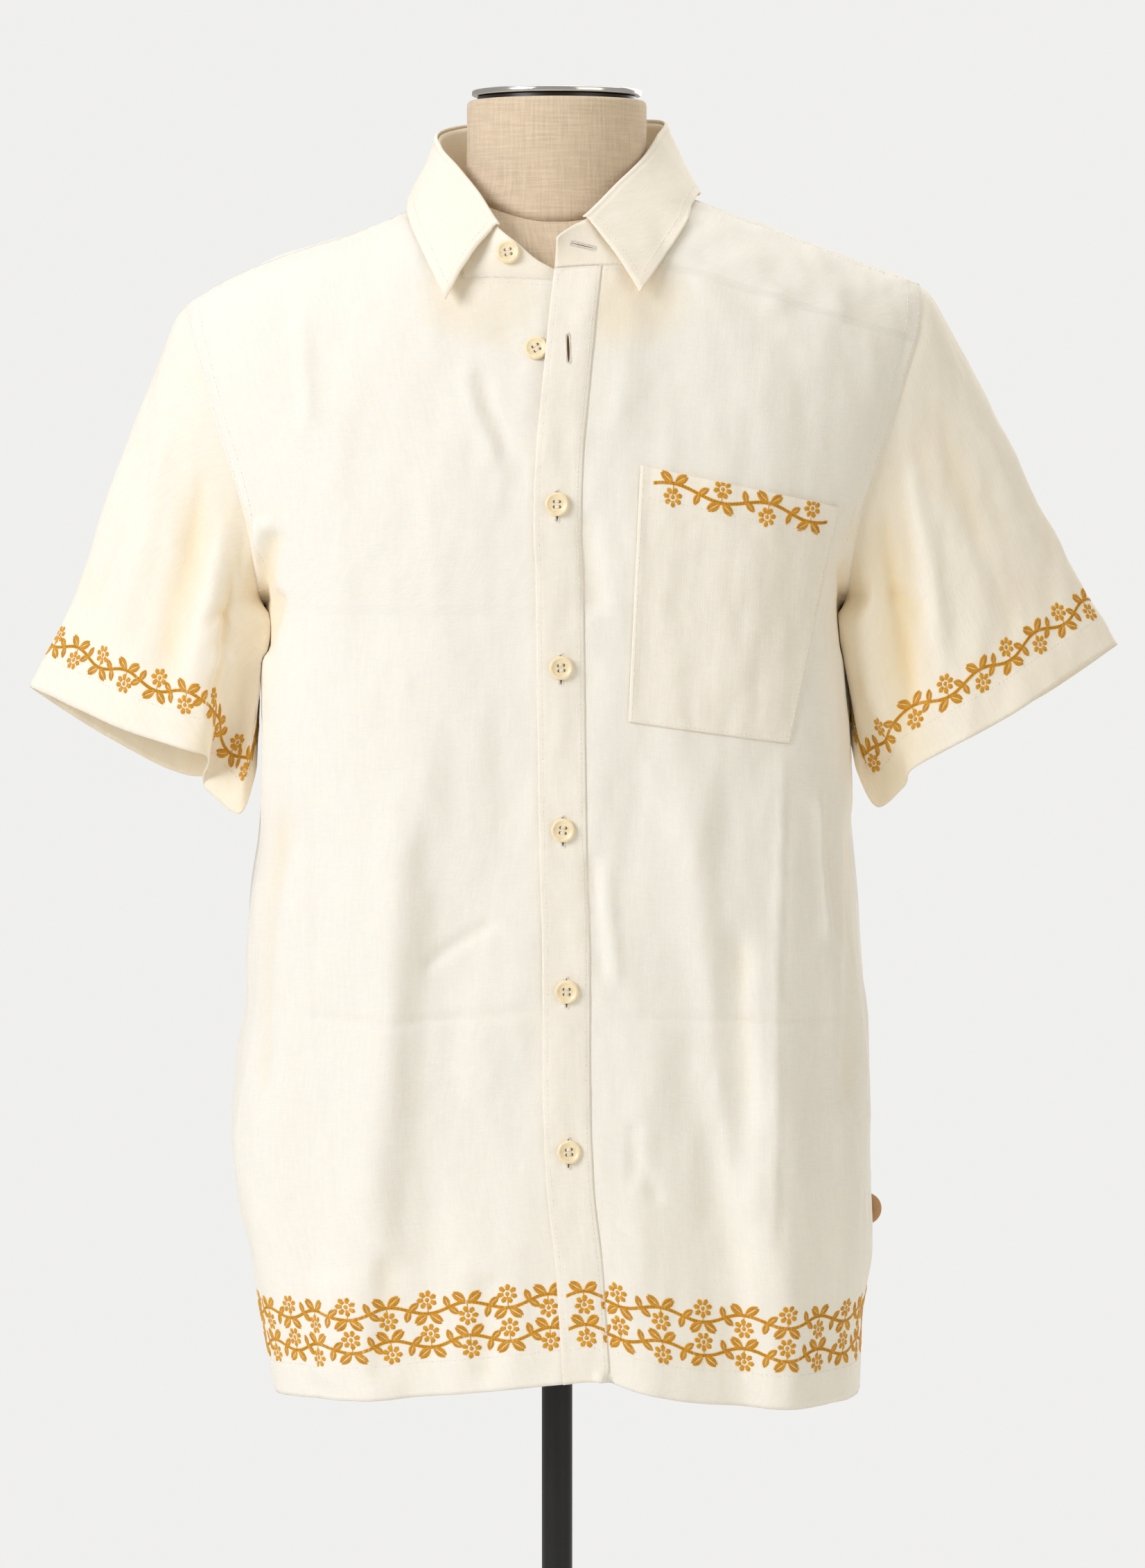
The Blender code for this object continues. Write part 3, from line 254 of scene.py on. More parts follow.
# How far the form lies inside the cloth
#   length up the cloth from the armpit's level, inset
FORM_INSET = (
    (-0.39, 0.026), (-0.24, 0.03), (-0.14, 0.026), (-0.07, 0.019), (0.0, 0.014),
    (0.04, 0.008), (0.09, 0.005), (0.14, CLOTH + FORM_GAP), (0.27, CLOTH + FORM_GAP),
)

# Creases pressed into the fronts, as paths seen from the front, in thousandths
#   half width, height (below nought is a trough), then x and z of each place on the path
FRONT_CREASES = (
    (2.2, 0.8, -160, 1119, -157, 1020, -153, 939, -143, 847, -138, 771),
    (2.2, 0.8, 141, 1119, 137, 945, 135, 771),
    (2.6, -0.7, -173, 939, -104, 935, -1, 945),
    (2.6, -0.7, 33, 940, 119, 936, 197, 932),
    (4, -1, -87, 966, -61, 986, -35, 1002),
    (5, -1.4, 22, 1047, 25, 1003, 29, 957),
    (4, 1, 30, 1042, 33, 999, 38, 956),
    (4, -1.3, 49, 878, 47, 856, 49, 835),
    (4, -0.9, 47, 861, 57, 839, 64, 821),
    (13, 3, 79, 1104, 88, 1012, 97, 908, 130, 786),
    (9, -2.4, 112, 1005, 116, 912, 118, 817),
    (4, 2, 163, 1083, 167, 1029, 172, 975),
    (5, -1.6, 168, 1089, 173, 1029, 178, 969),
    (5, -1.6, -49, 1343, -39, 1312, -27, 1282),
    (5, -1.4, -39, 1368, -29, 1355, -17, 1343),
    (6, 1.2, -59, 1346, -48, 1312, -35, 1278),
    (6, -2, -164, 1403, -169, 1377, -167, 1341, -161, 1301),
    (7, 1.6, -155, 1399, -160, 1373, -157, 1337, -152, 1301),
    (5, -1.2, -132, 1406, -133, 1384, -132, 1355),
    (11, 2.4, 91, 1435, 120, 1403, 152, 1377),
    (11, 2.2, 114, 1432, 152, 1401, 191, 1377),
    (9, -1.8, 84, 1422, 114, 1388, 144, 1363),
    (8, -3, 40, 1400, 31, 1354, 21, 1301),
    (7, -2, 18, 1256, 20, 1222, 25, 1186),
    (6, -3, -174, 1244, -184, 1218, -193, 1184),
    (6, -2.6, -172, 1205, -182, 1181, -189, 1158),
    (6, 2.2, -179, 1252, -189, 1226, -199, 1196),
    (6, -2.4, 181, 1226, 185, 1192, 189, 1158),
    (14, 2.2, -95, 1089, -104, 947, -117, 786),
    (2.5, -2.2, 31, 715, 33, 710, 32, 703),
    (3.5, 1.6, 27, 719, 29, 712, 27, 704),
    (9, -2.2, -175, 1085, -185, 969, -188, 865),
    (8, -2.2, 190, 1072, 188, 969, 186, 861),
    (10, -2, -105, 795, -108, 752, -110, 701),
    (12, 2, -139, 782, -144, 743, -147, 699),
    (9, -1.8, -44, 782, -42, 743, -44, 704),
)
BACK_CREASES = (
    (2.4, 0.8, -150, 1180, -146, 980, -140, 760),
    (2.4, 0.8, 150, 1180, 147, 980, 142, 760),
    (2.8, -0.7, -170, 944, 0, 938, 170, 944),
    (10, -2.6, -120, 1345, -60, 1325, 0, 1320, 60, 1325, 120, 1345),
    (13, 2.6, -140, 1305, -70, 1285, 0, 1280, 70, 1285, 140, 1305),
    (8, -2.8, -176, 1270, -150, 1220, -140, 1150),
    (8, -2.8, 176, 1270, 150, 1220, 140, 1150),
    (9, 2.4, -186, 1240, -165, 1180, -158, 1100),
    (9, 2.4, 186, 1240, 165, 1180, 158, 1100),
    (6, -1.6, -40, 1150, 0, 1110, 50, 1080),
    (7, 1.4, 90, 1060, 60, 990, 50, 900),
    (6, -1.4, -110, 900, -70, 870, -20, 860),
)
# Creases round the sleeves: place round from the shoulder over the front, share of the way down
#   half width, height, then place and share for each place on the path, in thousandths
SLEEVE_CREASES_RIGHT = (
    (12, 3.6, 100, 80, 120, 450, 120, 950),
    (12, -4, 190, 80, 200, 450, 200, 950),
    (10, 3.6, 260, 120, 250, 500, 240, 950),
    (8, -3.6, 310, 200, 300, 550, 290, 900),
    (5, -2, 330, 400, 280, 460, 240, 600),
    (6, 2.2, 340, 500, 300, 580, 270, 720),
    (7, -1.4, 40, 300, 70, 550, 60, 800),
    (11, 2.4, 880, 100, 860, 500, 850, 950),
    (11, -2.4, 790, 150, 780, 500, 780, 950),
    (9, 2.2, 700, 200, 700, 600, 710, 950),
)
SLEEVE_CREASES_LEFT = (
    (12, 3.4, 200, 50, 220, 450, 240, 800),
    (11, -3.6, 270, 80, 290, 450, 310, 900),
    (10, 3, 330, 150, 350, 550, 360, 900),
    (12, -2.2, 120, 100, 130, 500, 120, 850),
    (12, 2.2, 60, 100, 60, 500, 50, 850),
    (6, -2, 310, 350, 270, 450, 250, 600),
    (11, 2.4, 880, 100, 870, 500, 860, 950),
    (11, -2.4, 790, 150, 780, 500, 790, 950),
    (9, 2.2, 690, 200, 690, 600, 700, 950),
)
# Creases on the collar's leaf, from its right point to its left: share across, share of the
# way down; and on the pocket: share across, share of the way up
#   half width, height, then both shares for each place on the path, in thousandths
COLLAR_CREASES = (
    (6, 0.8, 100, 300, 140, 600, 120, 900),
    (7, -0.8, 900, 250, 870, 600, 890, 900),
    (8, 0.8, 400, 500, 500, 600, 600, 500),
)
POCKET_CREASES = (
    (6, -0.8, 350, 700, 420, 400, 400, 100),
    (8, 1.2, 600, 900, 660, 500, 620, 50),
)

# Walls and divisions of the fine pieces
THIN_WALL = 0.0009        # one layer of shirting as it shows at a free edge
COLLAR_WALL = 0.0013      # two layers and their lining
BAND_WALL = 0.0006        # pressed flat
POCKET_WALL = 0.0007
FLOOR_RADIUS = 2.35
HEM_DEPTH = 0.0215        # the shirt's turned hem, up to its stitching
SLEEVE_COLUMNS = 150
SLEEVE_ROWS = 66
STAND_COLUMNS = 200
STAND_ROWS = 18

# How the panels are divided before they are drawn finely
LOWER_STEPS = 12          # hem to armpit, on the fronts and the back
CHEST_SHARES = (0.0, 0.045, 0.13, 0.26, 0.44, 0.68, 1.0)    # armpit to the front's neckline
NECK_STEPS = 5            # along the neckline to the shoulder
FRONT_SPREAD = 8          # from the lapped stretch to the side
BACK_SPREAD = 10          # from the centre back to each side
BACK_SHARES = (0.0, 0.045, 0.13, 0.26, 0.44, 0.63, 0.82, 1.0)    # armpit to the yoke
YOKE_NECK_STEPS = 5       # of the back's columns, from the centre to the neck's side
YOKE_SHARES = (0.0, 0.1074, 0.2147, 0.36, 0.52, 0.68, 0.84, 1.0)
ARM_TURN_U = 0.14         # the armhole's length up where the neckline's rows begin
BAND_ROWS = LOWER_STEPS + len(CHEST_SHARES) - 1

# Smaller settings of the same pieces
STAND_START = 0.045       # share of the neckline that the stand's right end leaves free
LEAF_BULGE = 0.003
POCKET_GAP = 0.0003
BAND_SHORT = 0.003        # the band ends this far below the neckline
LAP_FLAT = 0.036          # the lapped stretch, from the front's edge
LAP_EASE = 0.04           # and the stretch over which it comes down again
UNDERARM_GAP = 0.0008     # the sleeve starts this far outside the body under the arm
UNDERARM_REACH = 0.012    # the sleeve is laid against the body up to this far above the armpit
INNER_FRONT_DRAWN = 0.016    # and its inner front is drawn in by this much
SLEEVE_CLEAR = 0.0007     # between the sleeve and the body's side, once it has left the armhole
LEAF_CLEAR = 0.002
LEAF_CENTRE_DROP = 0.05   # the leaf is laid outwards from a centre this far below each point
NECK_FLARE = 1.1
LEAF_CREST_RADIUS = 0.0021
LEAF_CREST_ROWS = 9
LEAF_ROWS = 34
POCKET_ROWS = 82
POCKET_COLUMNS = 66
FINE = 0.003              # spacing of the points on the panels
BACK_FINE = 0.0036
# Width and length of the cloth on which creases are placed by their shares
SLEEVE_SIZE = (0.62, 0.22)
COLLAR_SIZE = (0.42, 0.055)
POCKET_SIZE = (0.115, 0.15)
# The two buttonholes left open: x and z of the middle, length, heading
OPEN_HOLE = (0.0074, 1.353, 0.0175, math.radians(92))
NECK_HOLE = (0.0165, 1.4165, 0.015, math.radians(-13))
# A button's section from its back to its dished face: shares of its radius and of its thickness
BUTTON_PROFILE = ((0.72, 0), (0.9, 0.06), (0.985, 0.24), (1, 0.45), (0.985, 0.68), (0.945, 0.88),
                  (0.88, 0.985), (0.82, 1), (0.76, 0.96), (0.7, 0.84), (0.62, 0.72), (0.5, 0.66),
                  (0.2, 0.64))
# Lights: place, height they are aimed at, size, share of the key light's strength, colour
LIGHTS = (
    ("key", (-2.5, -2.2, 2.4), 1.1, 1.7, 1.15, (0.985, 0.985, 1.03)),
    ("fill", (2.4, -2.3, 1.7), 1.1, 2.2, 0.29, (1.0, 0.92, 0.8)),
    ("top", (0.2, 0.4, 3.4), 1.2, 2.6, 0.36, (1, 1, 1)),
    ("behind", (1.4, 2.9, 2.0), 1.1, 2.4, 0.7, (1, 1, 1)),
)
CAMERA_PLACE = (0.01, -3.2, 1.3)
CAMERA_TURN = math.radians(86)
SENSOR_WIDTH = 36
FOCAL_LENGTH = 114.681396       # in millimetres, as the width of the sensor
# How the sleeve's crown stands off a straight fall: share of its length, out
SLEEVE_CROWN = ((0.0, 0.0), (0.035, 0.004), (0.1, 0.0044), (0.2, 0.0034), (0.38, 0.0026),
                (0.7, -0.0008), (0.87, -0.0019), (1.0, 0.0))
# Half width of the form above the armpit, at its arm plates
FORM_PLATE = ((0.0, 0.17), (0.05, 0.166), (0.12, 0.176), (0.2, 0.186), (0.27, 0.19))


# Tables and curves


def along(rows, place, column=1, key=0):
    """One column of a table at places between its rows, on a smooth curve."""
    table = np.array(rows, float)
    if table[0, key] > table[-1, key]:
        table = table[::-1]
    keys, values = table[:, key], table[:, column]
    n = np.arange(len(keys))
    before, after = np.maximum(n - 1, 0), np.minimum(n + 1, len(n) - 1)
    slopes = (values[after] - values[before]) / (keys[after] - keys[before])
    place = np.clip(place, keys[0], keys[-1])
    i = np.clip(np.searchsorted(keys, place, side="right") - 1, 0, len(n) - 2)
    return hermite((place - keys[i]) / (keys[i + 1] - keys[i]), values[i], values[i + 1],
                   slopes[i] * (keys[i + 1] - keys[i]), slopes[i + 1] * (keys[i + 1] - keys[i]))


def hermite(t, start, end, leave, arrive):
    return ((2 * t**3 - 3 * t**2 + 1) * start + (t**3 - 2 * t**2 + t) * leave
            + (3 * t**2 - 2 * t**3) * end + (t**3 - t**2) * arrive)


def along_loop(rows, place):
    """Points of a closed table (place, x, y, z) at places round it."""
    rows = np.array(rows, float)
    turn = np.array([1.0, 0, 0, 0])
    table = np.concatenate([rows - turn, rows, rows + turn])
    return np.stack([along(table, np.asarray(place) % 1.0, axis) for axis in (1, 2, 3)], -1)


def along_path(rows, place, first=1):
    """Points of an open table at places along it."""
    return np.stack([along(rows, place, first + axis) for axis in range(3)], -1)


def smooth(value):
    """Ease from 0 to 1."""
    value = np.clip(value, 0.0, 1.0)
    return value * value * (3 - 2 * value)


def unit(vectors):
    length = np.linalg.norm(vectors, axis=-1, keepdims=True)
    return vectors / np.maximum(length, 1e-12)


def refined(values, counts, axis=0):
    """A coarse grid drawn finely along one axis, with so many steps in each of its intervals."""
    values = np.moveaxis(np.asarray(values, float), axis, 0)
    slopes = np.gradient(values, axis=0)
    interval = np.concatenate([np.full(count, i) for i, count in enumerate(counts)])
    t = np.concatenate([np.arange(count) / count for count in counts])
    interval, t = np.append(interval, len(counts) - 1), np.append(t, 1.0)
    t = t.reshape((-1,) + (1,) * (values.ndim - 1))
    fine = hermite(t, values[interval], values[interval + 1], slopes[interval],
                   slopes[interval + 1])
    return np.moveaxis(fine, 0, axis)


def hops(points):
    """Lengths from each of a row of points to the next."""
    return np.linalg.norm(np.diff(points, axis=0), axis=-1)


def run_along(points):
    """Lengths run along a line of points, from its first."""
    return np.concatenate([[0], np.cumsum(hops(points))])


def step_counts(points, spacing=FINE):
    """How many fine steps each interval of a row of points takes."""
    return [max(1, int(round(length / spacing))) for length in hops(points)]


# The cloth's master surface


def superellipse(angle, power):
    """Sine-like and cosine-like reach of a squared circle, at an angle from 0 to a half pi."""
    across, ahead = np.sin(angle), np.cos(angle)
    radius = (np.abs(across)**power + np.abs(ahead)**power) ** (-1 / power)
    return across * radius, ahead * radius


def either_side(rows, place, x, column=1, key=0, by_key=False):
    """A table's value for the wearer's right where x is below nought, and for the left."""
    if by_key:
        right, left = along(rows, place, column, key), along(rows, place, column, key + 1)
    else:
        right, left = along(rows, place, column, key), along(rows, place, column + 1, key)
    return np.where(np.asarray(x) < 0, right, left)


def ridge_z(x):
    return either_side(RIDGE, np.abs(x), x, 0, 1, by_key=True)


def half_width(x, z):
    return either_side(BODY, z, x)


def armhole_x(hand, u):
    """Where the armhole edge lies: hand is -1 for the wearer's right and 1 for the left."""
    return hand * either_side(ARMHOLE, u, hand)


def fold_height(x, z, side):
    """How far the large folds stand proud of the plain section."""
    proud = np.zeros(np.broadcast(x, z).shape)
    for fold_side, x_high, x_hem, width, height, top in FOLDS:
        centre = x_high + (x_hem - x_high) * (1.1 - z) / 0.4
        strength = smooth((top - z) / 0.22) * (side == fold_side)
        proud = proud + height * strength * np.exp(-((x - centre) / width) ** 2)
    return proud


def body_point(x, u, side, inset=0.0, folded=True):
    """Points of the cloth: x across, u up the cloth from the armpit's level."""
    x, u, side = np.broadcast_arrays(*(np.asarray(v, float) for v in (x, u, side)))
    top = ridge_z(x) - inset
    rise, keep = superellipse(0.5 * np.pi * np.clip(u / ARCH_LENGTH, 0, 1), ARCH_POWER)
    high = u > 0
    z = np.where(high, ARMPIT_Z + (top - ARMPIT_Z) * rise, ARMPIT_Z + u)
    share = np.minimum(np.abs(x) / (half_width(x, z) - inset), 1.0)
    power = SQUARE_BELOW + (ROUND_ABOVE - SQUARE_BELOW) * smooth((z - 1.12) / 0.18)
    flat = np.maximum(1 - share**power, 0.0) ** (1 / power)
    depth = np.where(side < 0, along(BODY, z, 3), along(BODY, z, 4))
    reach = (depth - inset) * flat
    if folded:
        reach = reach + fold_height(x, z, side) * flat
    ridge = along(RIDGE_Y, np.abs(x))
    y = np.where(high, ridge + (side * reach - ridge) * keep, side * reach)
    return np.stack([x, y, z], -1)


def u_at(x, z):
    """Length up the cloth at which a place x has the height z."""
    rise = np.clip((z - ARMPIT_Z) / (ridge_z(x) - ARMPIT_Z), 0, 1)
    keep = (1 - rise**ARCH_POWER) ** (1 / ARCH_POWER)
    arch = ARCH_LENGTH * np.arctan2(rise, keep) / (0.5 * np.pi)
    return np.where(z <= ARMPIT_Z, z - ARMPIT_Z, arch)


def yoke_point(x, past):
    """Points of the yoke, by their length past the ridge towards the back."""
    return body_point(x, ARCH_LENGTH - np.abs(past), np.where(past < 0, FRONT, BACK))


def hem_u(x, side):
    return along(HEM, x, 1 if side == FRONT else 2) - ARMPIT_Z


def side_spread(count):
    """Shares from the centre to the side, closer where the section turns."""
    return [float(superellipse(0.5 * np.pi * k / count, SECTION_POWER)[0])
            for k in range(count + 1)]


# Grids of points


def grid_normals(grid, around=False):
    """Unit normals of a grid of points, from its neighbours; not-a-number marks a gap."""
    def shifted(axis, step):
        moved = np.roll(grid, -step, axis)
        if not (axis == 1 and around):
            edge = [slice(None)] * 2
            edge[axis] = -1 if step > 0 else 0
            moved[tuple(edge)] = grid[tuple(edge)]
        return np.where(np.isnan(moved), grid, moved)

    across = shifted(1, 1) - shifted(1, -1)
    up = shifted(0, 1) - shifted(0, -1)
    return unit(np.cross(across, up))


def lifted(grid, height, around=False):
    """The grid moved out along its normals by a height, or by a grid of heights."""
    return grid + grid_normals(grid, around) * np.asarray(height)[..., None]


def along_edge(grid, axis):
    """Lengths run along a grid's lines, from their first point."""
    hops = np.linalg.norm(np.diff(grid, axis=axis), axis=-1)
    hops = np.nan_to_num(hops)
    start = np.zeros_like(np.take(hops, [0], axis))
    return np.concatenate([start, np.cumsum(hops, axis)], axis)


def on_grid(grid, row, col):
    """Points of a grid at places between its rows and columns."""
    row = np.clip(row, 0, grid.shape[0] - 1.001)
    col = np.clip(col, 0, grid.shape[1] - 1.001)
    i, j = row.astype(int), col.astype(int)
    a, b = (row - i)[..., None], (col - j)[..., None]
    return ((grid[i, j] * (1 - a) + grid[i + 1, j] * a) * (1 - b)
            + (grid[i, j + 1] * (1 - a) + grid[i + 1, j + 1] * a) * b)


def crease_height(place, rows, end=0.18):
    """How far creases stand proud at places (a pair of coordinates); each fades at its ends."""
    proud = np.zeros(place.shape[:-1])
    for row in rows:
        width, height, *path = thousandths(row)
        path = np.reshape(path, (-1, 2))
        proud = proud + one_crease(place, width, height, path, end)
    return proud


def one_crease(place, width, height, path, end):
    """How far one crease stands proud."""
    run = run_along(path) / hops(path).sum()
    nearest, reached = np.full(place.shape[:-1], np.inf), np.zeros(place.shape[:-1])
    for n, (start, way) in enumerate(zip(path[:-1], np.diff(path, axis=0))):
        t = np.clip(((place - start) @ way) / (way @ way), 0, 1)
        apart = np.linalg.norm(place - start - t[..., None] * way, axis=-1)
        closer = apart < nearest
        reached = np.where(closer, run[n] + (run[n + 1] - run[n]) * t, reached)
        nearest = np.where(closer, apart, nearest)
    fade = smooth(reached / end) * smooth((1 - reached) / end)
    return height * fade * np.exp(-(nearest / width) ** 2)


def marked(across, up, size, rows):
    """Creases on a piece of that width and length, given at shares across it and along it."""
    flat = np.stack(np.broadcast_arrays(across, up), -1) * np.array(size)
    scaled = [(*row[:2], *(np.reshape(row[2:], (-1, 2)) * size).ravel()) for row in rows]
    return crease_height(flat, scaled, end=0.3)


def wrinkle_height(grid, size, height, stretch=(1.0, 1.0, 1.0), seed=0.0):
    """Soft small dents all over, the same ones each time."""
    proud = np.zeros(grid.shape[:-1])
    for place in np.ndindex(*proud.shape):
        point = grid[place]
        if not np.isnan(point[0]):
            spot = Vector(point * np.array(stretch) / size) + Vector((seed, 7.3, 2.1))
            proud[place] = noise.noise(spot) + 0.5 * noise.noise(spot * 2.1)
    return proud * height


# Meshes


def add_object(name, points, faces, material, smooth_faces=True, places=None, shades=None):
    """One piece from points and faces, with its cloth places (UV) and its shares of painted warm
    fold shade.
    """
    mesh = bpy.data.meshes.new(name)
    points = np.asarray(points, float).reshape(-1, 3)
    mesh.from_pydata(points.tolist(), [], [tuple(int(c) for c in face) for face in faces])
    if smooth_faces:
        mesh.shade_smooth()
    if places is not None:
        layer = mesh.uv_layers.new(name="cloth")
        corners = np.zeros(len(mesh.loops), np.int32)
        mesh.loops.foreach_get("vertex_index", corners)
        layer.data.foreach_set("uv", np.asarray(places, np.float32)[corners].ravel())
    # painted shade: each point's share of the warm fold colour, kept as an attribute for the
    # cloth's material
    if shades is not None:
        recess = mesh.attributes.new("recess", "FLOAT", "POINT")
        recess.data.foreach_set("value", np.asarray(shades, np.float32).ravel())
    mesh.materials.append(material)
    mesh.validate()
    piece = bpy.data.objects.new(name, mesh)
    bpy.context.scene.collection.objects.link(piece)
    return piece


def add_wall(name, grid, material, wall, around=False, flip=False, shade=None):
    """A wall of cloth whose outer side is the grid, closed along its free edges."""
    rows, cols = grid.shape[:2]
    normals = grid_normals(grid, around)
    if flip:
        normals = -normals
    there = ~np.isnan(grid[..., 0])
    index = np.full((rows, cols), -1)
    index[there] = np.arange(there.sum())
    count = int(there.sum())
    outer, inner = grid[there], (grid - normals * wall)[there]
    right = np.roll(index, -1, 1)
    cells = np.stack([index[:-1], right[:-1], right[1:], index[1:]], -1)
    if not around:
        cells = cells[:, :-1]
    cells = cells.reshape(-1, 4)
    cells = cells[(cells >= 0).all(1)]
    if flip:
        cells = cells[:, ::-1]
    edges = np.concatenate([cells[:, [k, (k + 1) % 4]] for k in range(4)])
    key = np.sort(edges, 1)
    _, first, uses = np.unique(key, axis=0, return_index=True, return_counts=True)
    rim = edges[first[uses == 1]]
    faces = cells.tolist() + (cells[:, ::-1] + count).tolist()
    faces += [(a, a + count, b + count, b) for a, b in rim]
    s, t = along_edge(grid, 1), along_edge(grid, 0)
    places = np.stack([s, t], -1)[there]
    shades = np.zeros((rows, cols)) if shade is None else shade
    # painted shade: the wall's inner side takes a larger share of the warm fold colour than its
    # outer side
    return add_object(name, np.concatenate([outer, inner]), faces, material,
                      places=np.concatenate([places, places]),
                      shades=np.concatenate([shades[there], shades[there] + 0.35]))


def ring_faces(rings, sides):
    """Faces between rings of so many points each."""
    return [(r * sides + k, r * sides + (k + 1) % sides, (r + 1) * sides + (k + 1) % sides,
             (r + 1) * sides + k) for r in range(rings - 1) for k in range(sides)]


def add_turned(name, profile, place, axis, material, sides=96, edge_angle=40):
    """A solid turned about an axis through a place; the profile is (radius, height) rows."""
    turn = np.array(Vector(axis).normalized().to_track_quat("Z", "Y").to_matrix())
    angles = 2 * np.pi * np.arange(sides) / sides
    points = [np.stack([radius * np.cos(angles), radius * np.sin(angles),
                        np.full(sides, height)], -1) for radius, height in profile]
    points = np.concatenate(points) @ turn.T + np.array(place)
    faces = ring_faces(len(profile), sides)
    faces.append(tuple(reversed(range(sides))))
    faces.append(tuple(range((len(profile) - 1) * sides, len(profile) * sides)))
    piece = add_object(name, points, faces, material)
    piece.data.set_sharp_from_angle(angle=math.radians(edge_angle))
    return piece


def add_threads(name, starts, ends, normals, material, width, lift):
    """Many short threads as one piece: each rises from its start, and sinks in at its end."""
    starts, ends, normals = (np.asarray(v, float).reshape(-1, 3) for v in (starts, ends, normals))
    width, lift = (np.broadcast_to(v, len(starts))[:, None] for v in (width, lift))
    run = ends - starts
    across = unit(np.cross(normals, run)) * width * 0.5
    up = unit(normals)
    tips = 0.25 * lift
    rings = [starts - up * tips]
    for share in (0.16, 0.84):
        spot = starts + run * share
        rings += [spot - across, spot + up * lift, spot + across, spot - up * tips]
    rings.append(ends - up * tips)
    points = np.stack(rings, 1)
    faces = [(0, 2, 1), (0, 3, 2), (0, 4, 3), (0, 1, 4)]
    faces += [(1 + k, 1 + (k + 1) % 4, 5 + (k + 1) % 4, 5 + k) for k in range(4)]
    faces += [(5, 6, 9), (6, 7, 9), (7, 8, 9), (8, 5, 9)]
    all_faces = [tuple(c + 10 * n for c in face) for n in range(len(starts)) for face in faces]
    return add_object(name, points.reshape(-1, 3), all_faces, material)


def tree_of(*names):
    """The faces of some pieces, to lay others on."""
    work = bmesh.new()
    for name in names:
        work.from_mesh(PIECES[name].data)
    tree = BVHTree.FromBMesh(work)
    work.free()
    return tree


def kept_clear(grid, tree, centres, gap):
    """A grid whose points are moved out from their centres, a gap outside a tree's bodies."""
    out = grid.copy()
    gap = np.broadcast_to(gap, grid.shape[:-1])
    for place in np.ndindex(*grid.shape[:-1]):
        point, centre = Vector(grid[place]), Vector(centres[place])
        reach = (point - centre).length
        way = (point - centre) / reach
        hit = tree.ray_cast(centre + way, -way, 1.0)[0]
        if hit is not None:
            out[place] = centre + way * max(reach, (hit - centre).dot(way) + gap[place])
    return out


def on_front(tree, x, z):
    """The outermost point of a body and its normal there, seen from straight ahead."""
    hit, normal = tree.ray_cast(Vector((x, -1, z)), Vector((0, 1, 0)))[:2]
    return hit, normal


# The panels' fine grids

GRIDS = {}                # fine grids of the panels, for what is laid on them


def front_places(hand):
    """Places across and up of one front: rows from the hem, columns from its edge to the side."""
    lap = BAND_WIDTH if hand < 0 else 0.0
    rows = []
    for share in np.linspace(0, 1, LOWER_STEPS + 1):
        edge_u = hem_u(0.0, FRONT) * (1 - share)
        outer_u = hem_u(hand * 0.19, FRONT) * (1 - share)
        rows.append((along(BAND_EDGE, ARMPIT_Z + edge_u) + lap, edge_u,
                     hand * half_width(hand, ARMPIT_Z + outer_u), outer_u))
    for share in CHEST_SHARES[1:]:
        edge_u, arm_u = CENTRE_NECK_U[hand] * share, ARM_TURN_U * share
        edge_x = along(BAND_EDGE, body_point(0.0, edge_u, FRONT)[2]) + lap
        rows.append((edge_x, edge_u, armhole_x(hand, arm_u), arm_u))
    across, up = (1, 2) if hand < 0 else (3, 4)
    for number, arm_u in enumerate(np.linspace(ARM_TURN_U, SEAM_U, NECK_STEPS + 1)[1:], 1):
        share = number / NECK_STEPS
        rows.append((along(NECKLINE, share, across), along(NECKLINE, share, up),
                     armhole_x(hand, arm_u), arm_u))
    left_out = NECK_COLUMN[hand]
    places = np.full((len(rows), 4 + FRONT_SPREAD, 2), np.nan)
    for number, (edge_x, edge_u, outer_x, outer_u) in enumerate(rows):
        if number <= BAND_ROWS:
            reach = abs(outer_x - edge_x)
            shares = [BAND_WIDTH * 0.5 * n / reach for n in range(4)]
            shares += [shares[-1] + (1 - shares[-1]) * share
                       for share in side_spread(FRONT_SPREAD)[1:]]
            columns = range(4 + FRONT_SPREAD)
        else:
            reach = 0.0
            last = places[BAND_ROWS, :, 0]
            columns = range(left_out, 4 + FRONT_SPREAD)
            shares = {j: (last[j] - last[left_out]) / (last[-1] - last[left_out]) for j in columns}
        for j in columns:
            share = shares[j]
            x = edge_x + (outer_x - edge_x) * share
            rise = min(share * reach / NECK_RISE[hand], 1.0) if reach else share
            if number <= LOWER_STEPS:
                rise = share
            u = hem_u(x, FRONT) if number == 0 else edge_u + (outer_u - edge_u) * rise
            places[number, j] = x, u
    return places


def reach_side(places):
    """The same places across and up, with each outer column right at the body's side."""
    x, u = places[..., 0], places[..., 1]
    both_sides = abs(x[0, 0] + x[0, -1]) < 0.08
    for column in (0, -1):
        side = x[:, column]
        if abs(side[0]) < 0.05:       # the front's edge, not the body's side
            continue
        hand = 1 if side[0] > 0 else -1
        exact = np.where(u[:, column] <= 0, hand * half_width(
            hand, ARMPIT_Z + np.minimum(u[:, column], 0)), side)
        middle = 0.0 if both_sides else x[0, -1 - column]
        part = np.clip((x - middle) / (side[:, None] - middle), 0, 1)
        x = x + (exact - side)[:, None] * part
    return np.stack([x, u], -1)


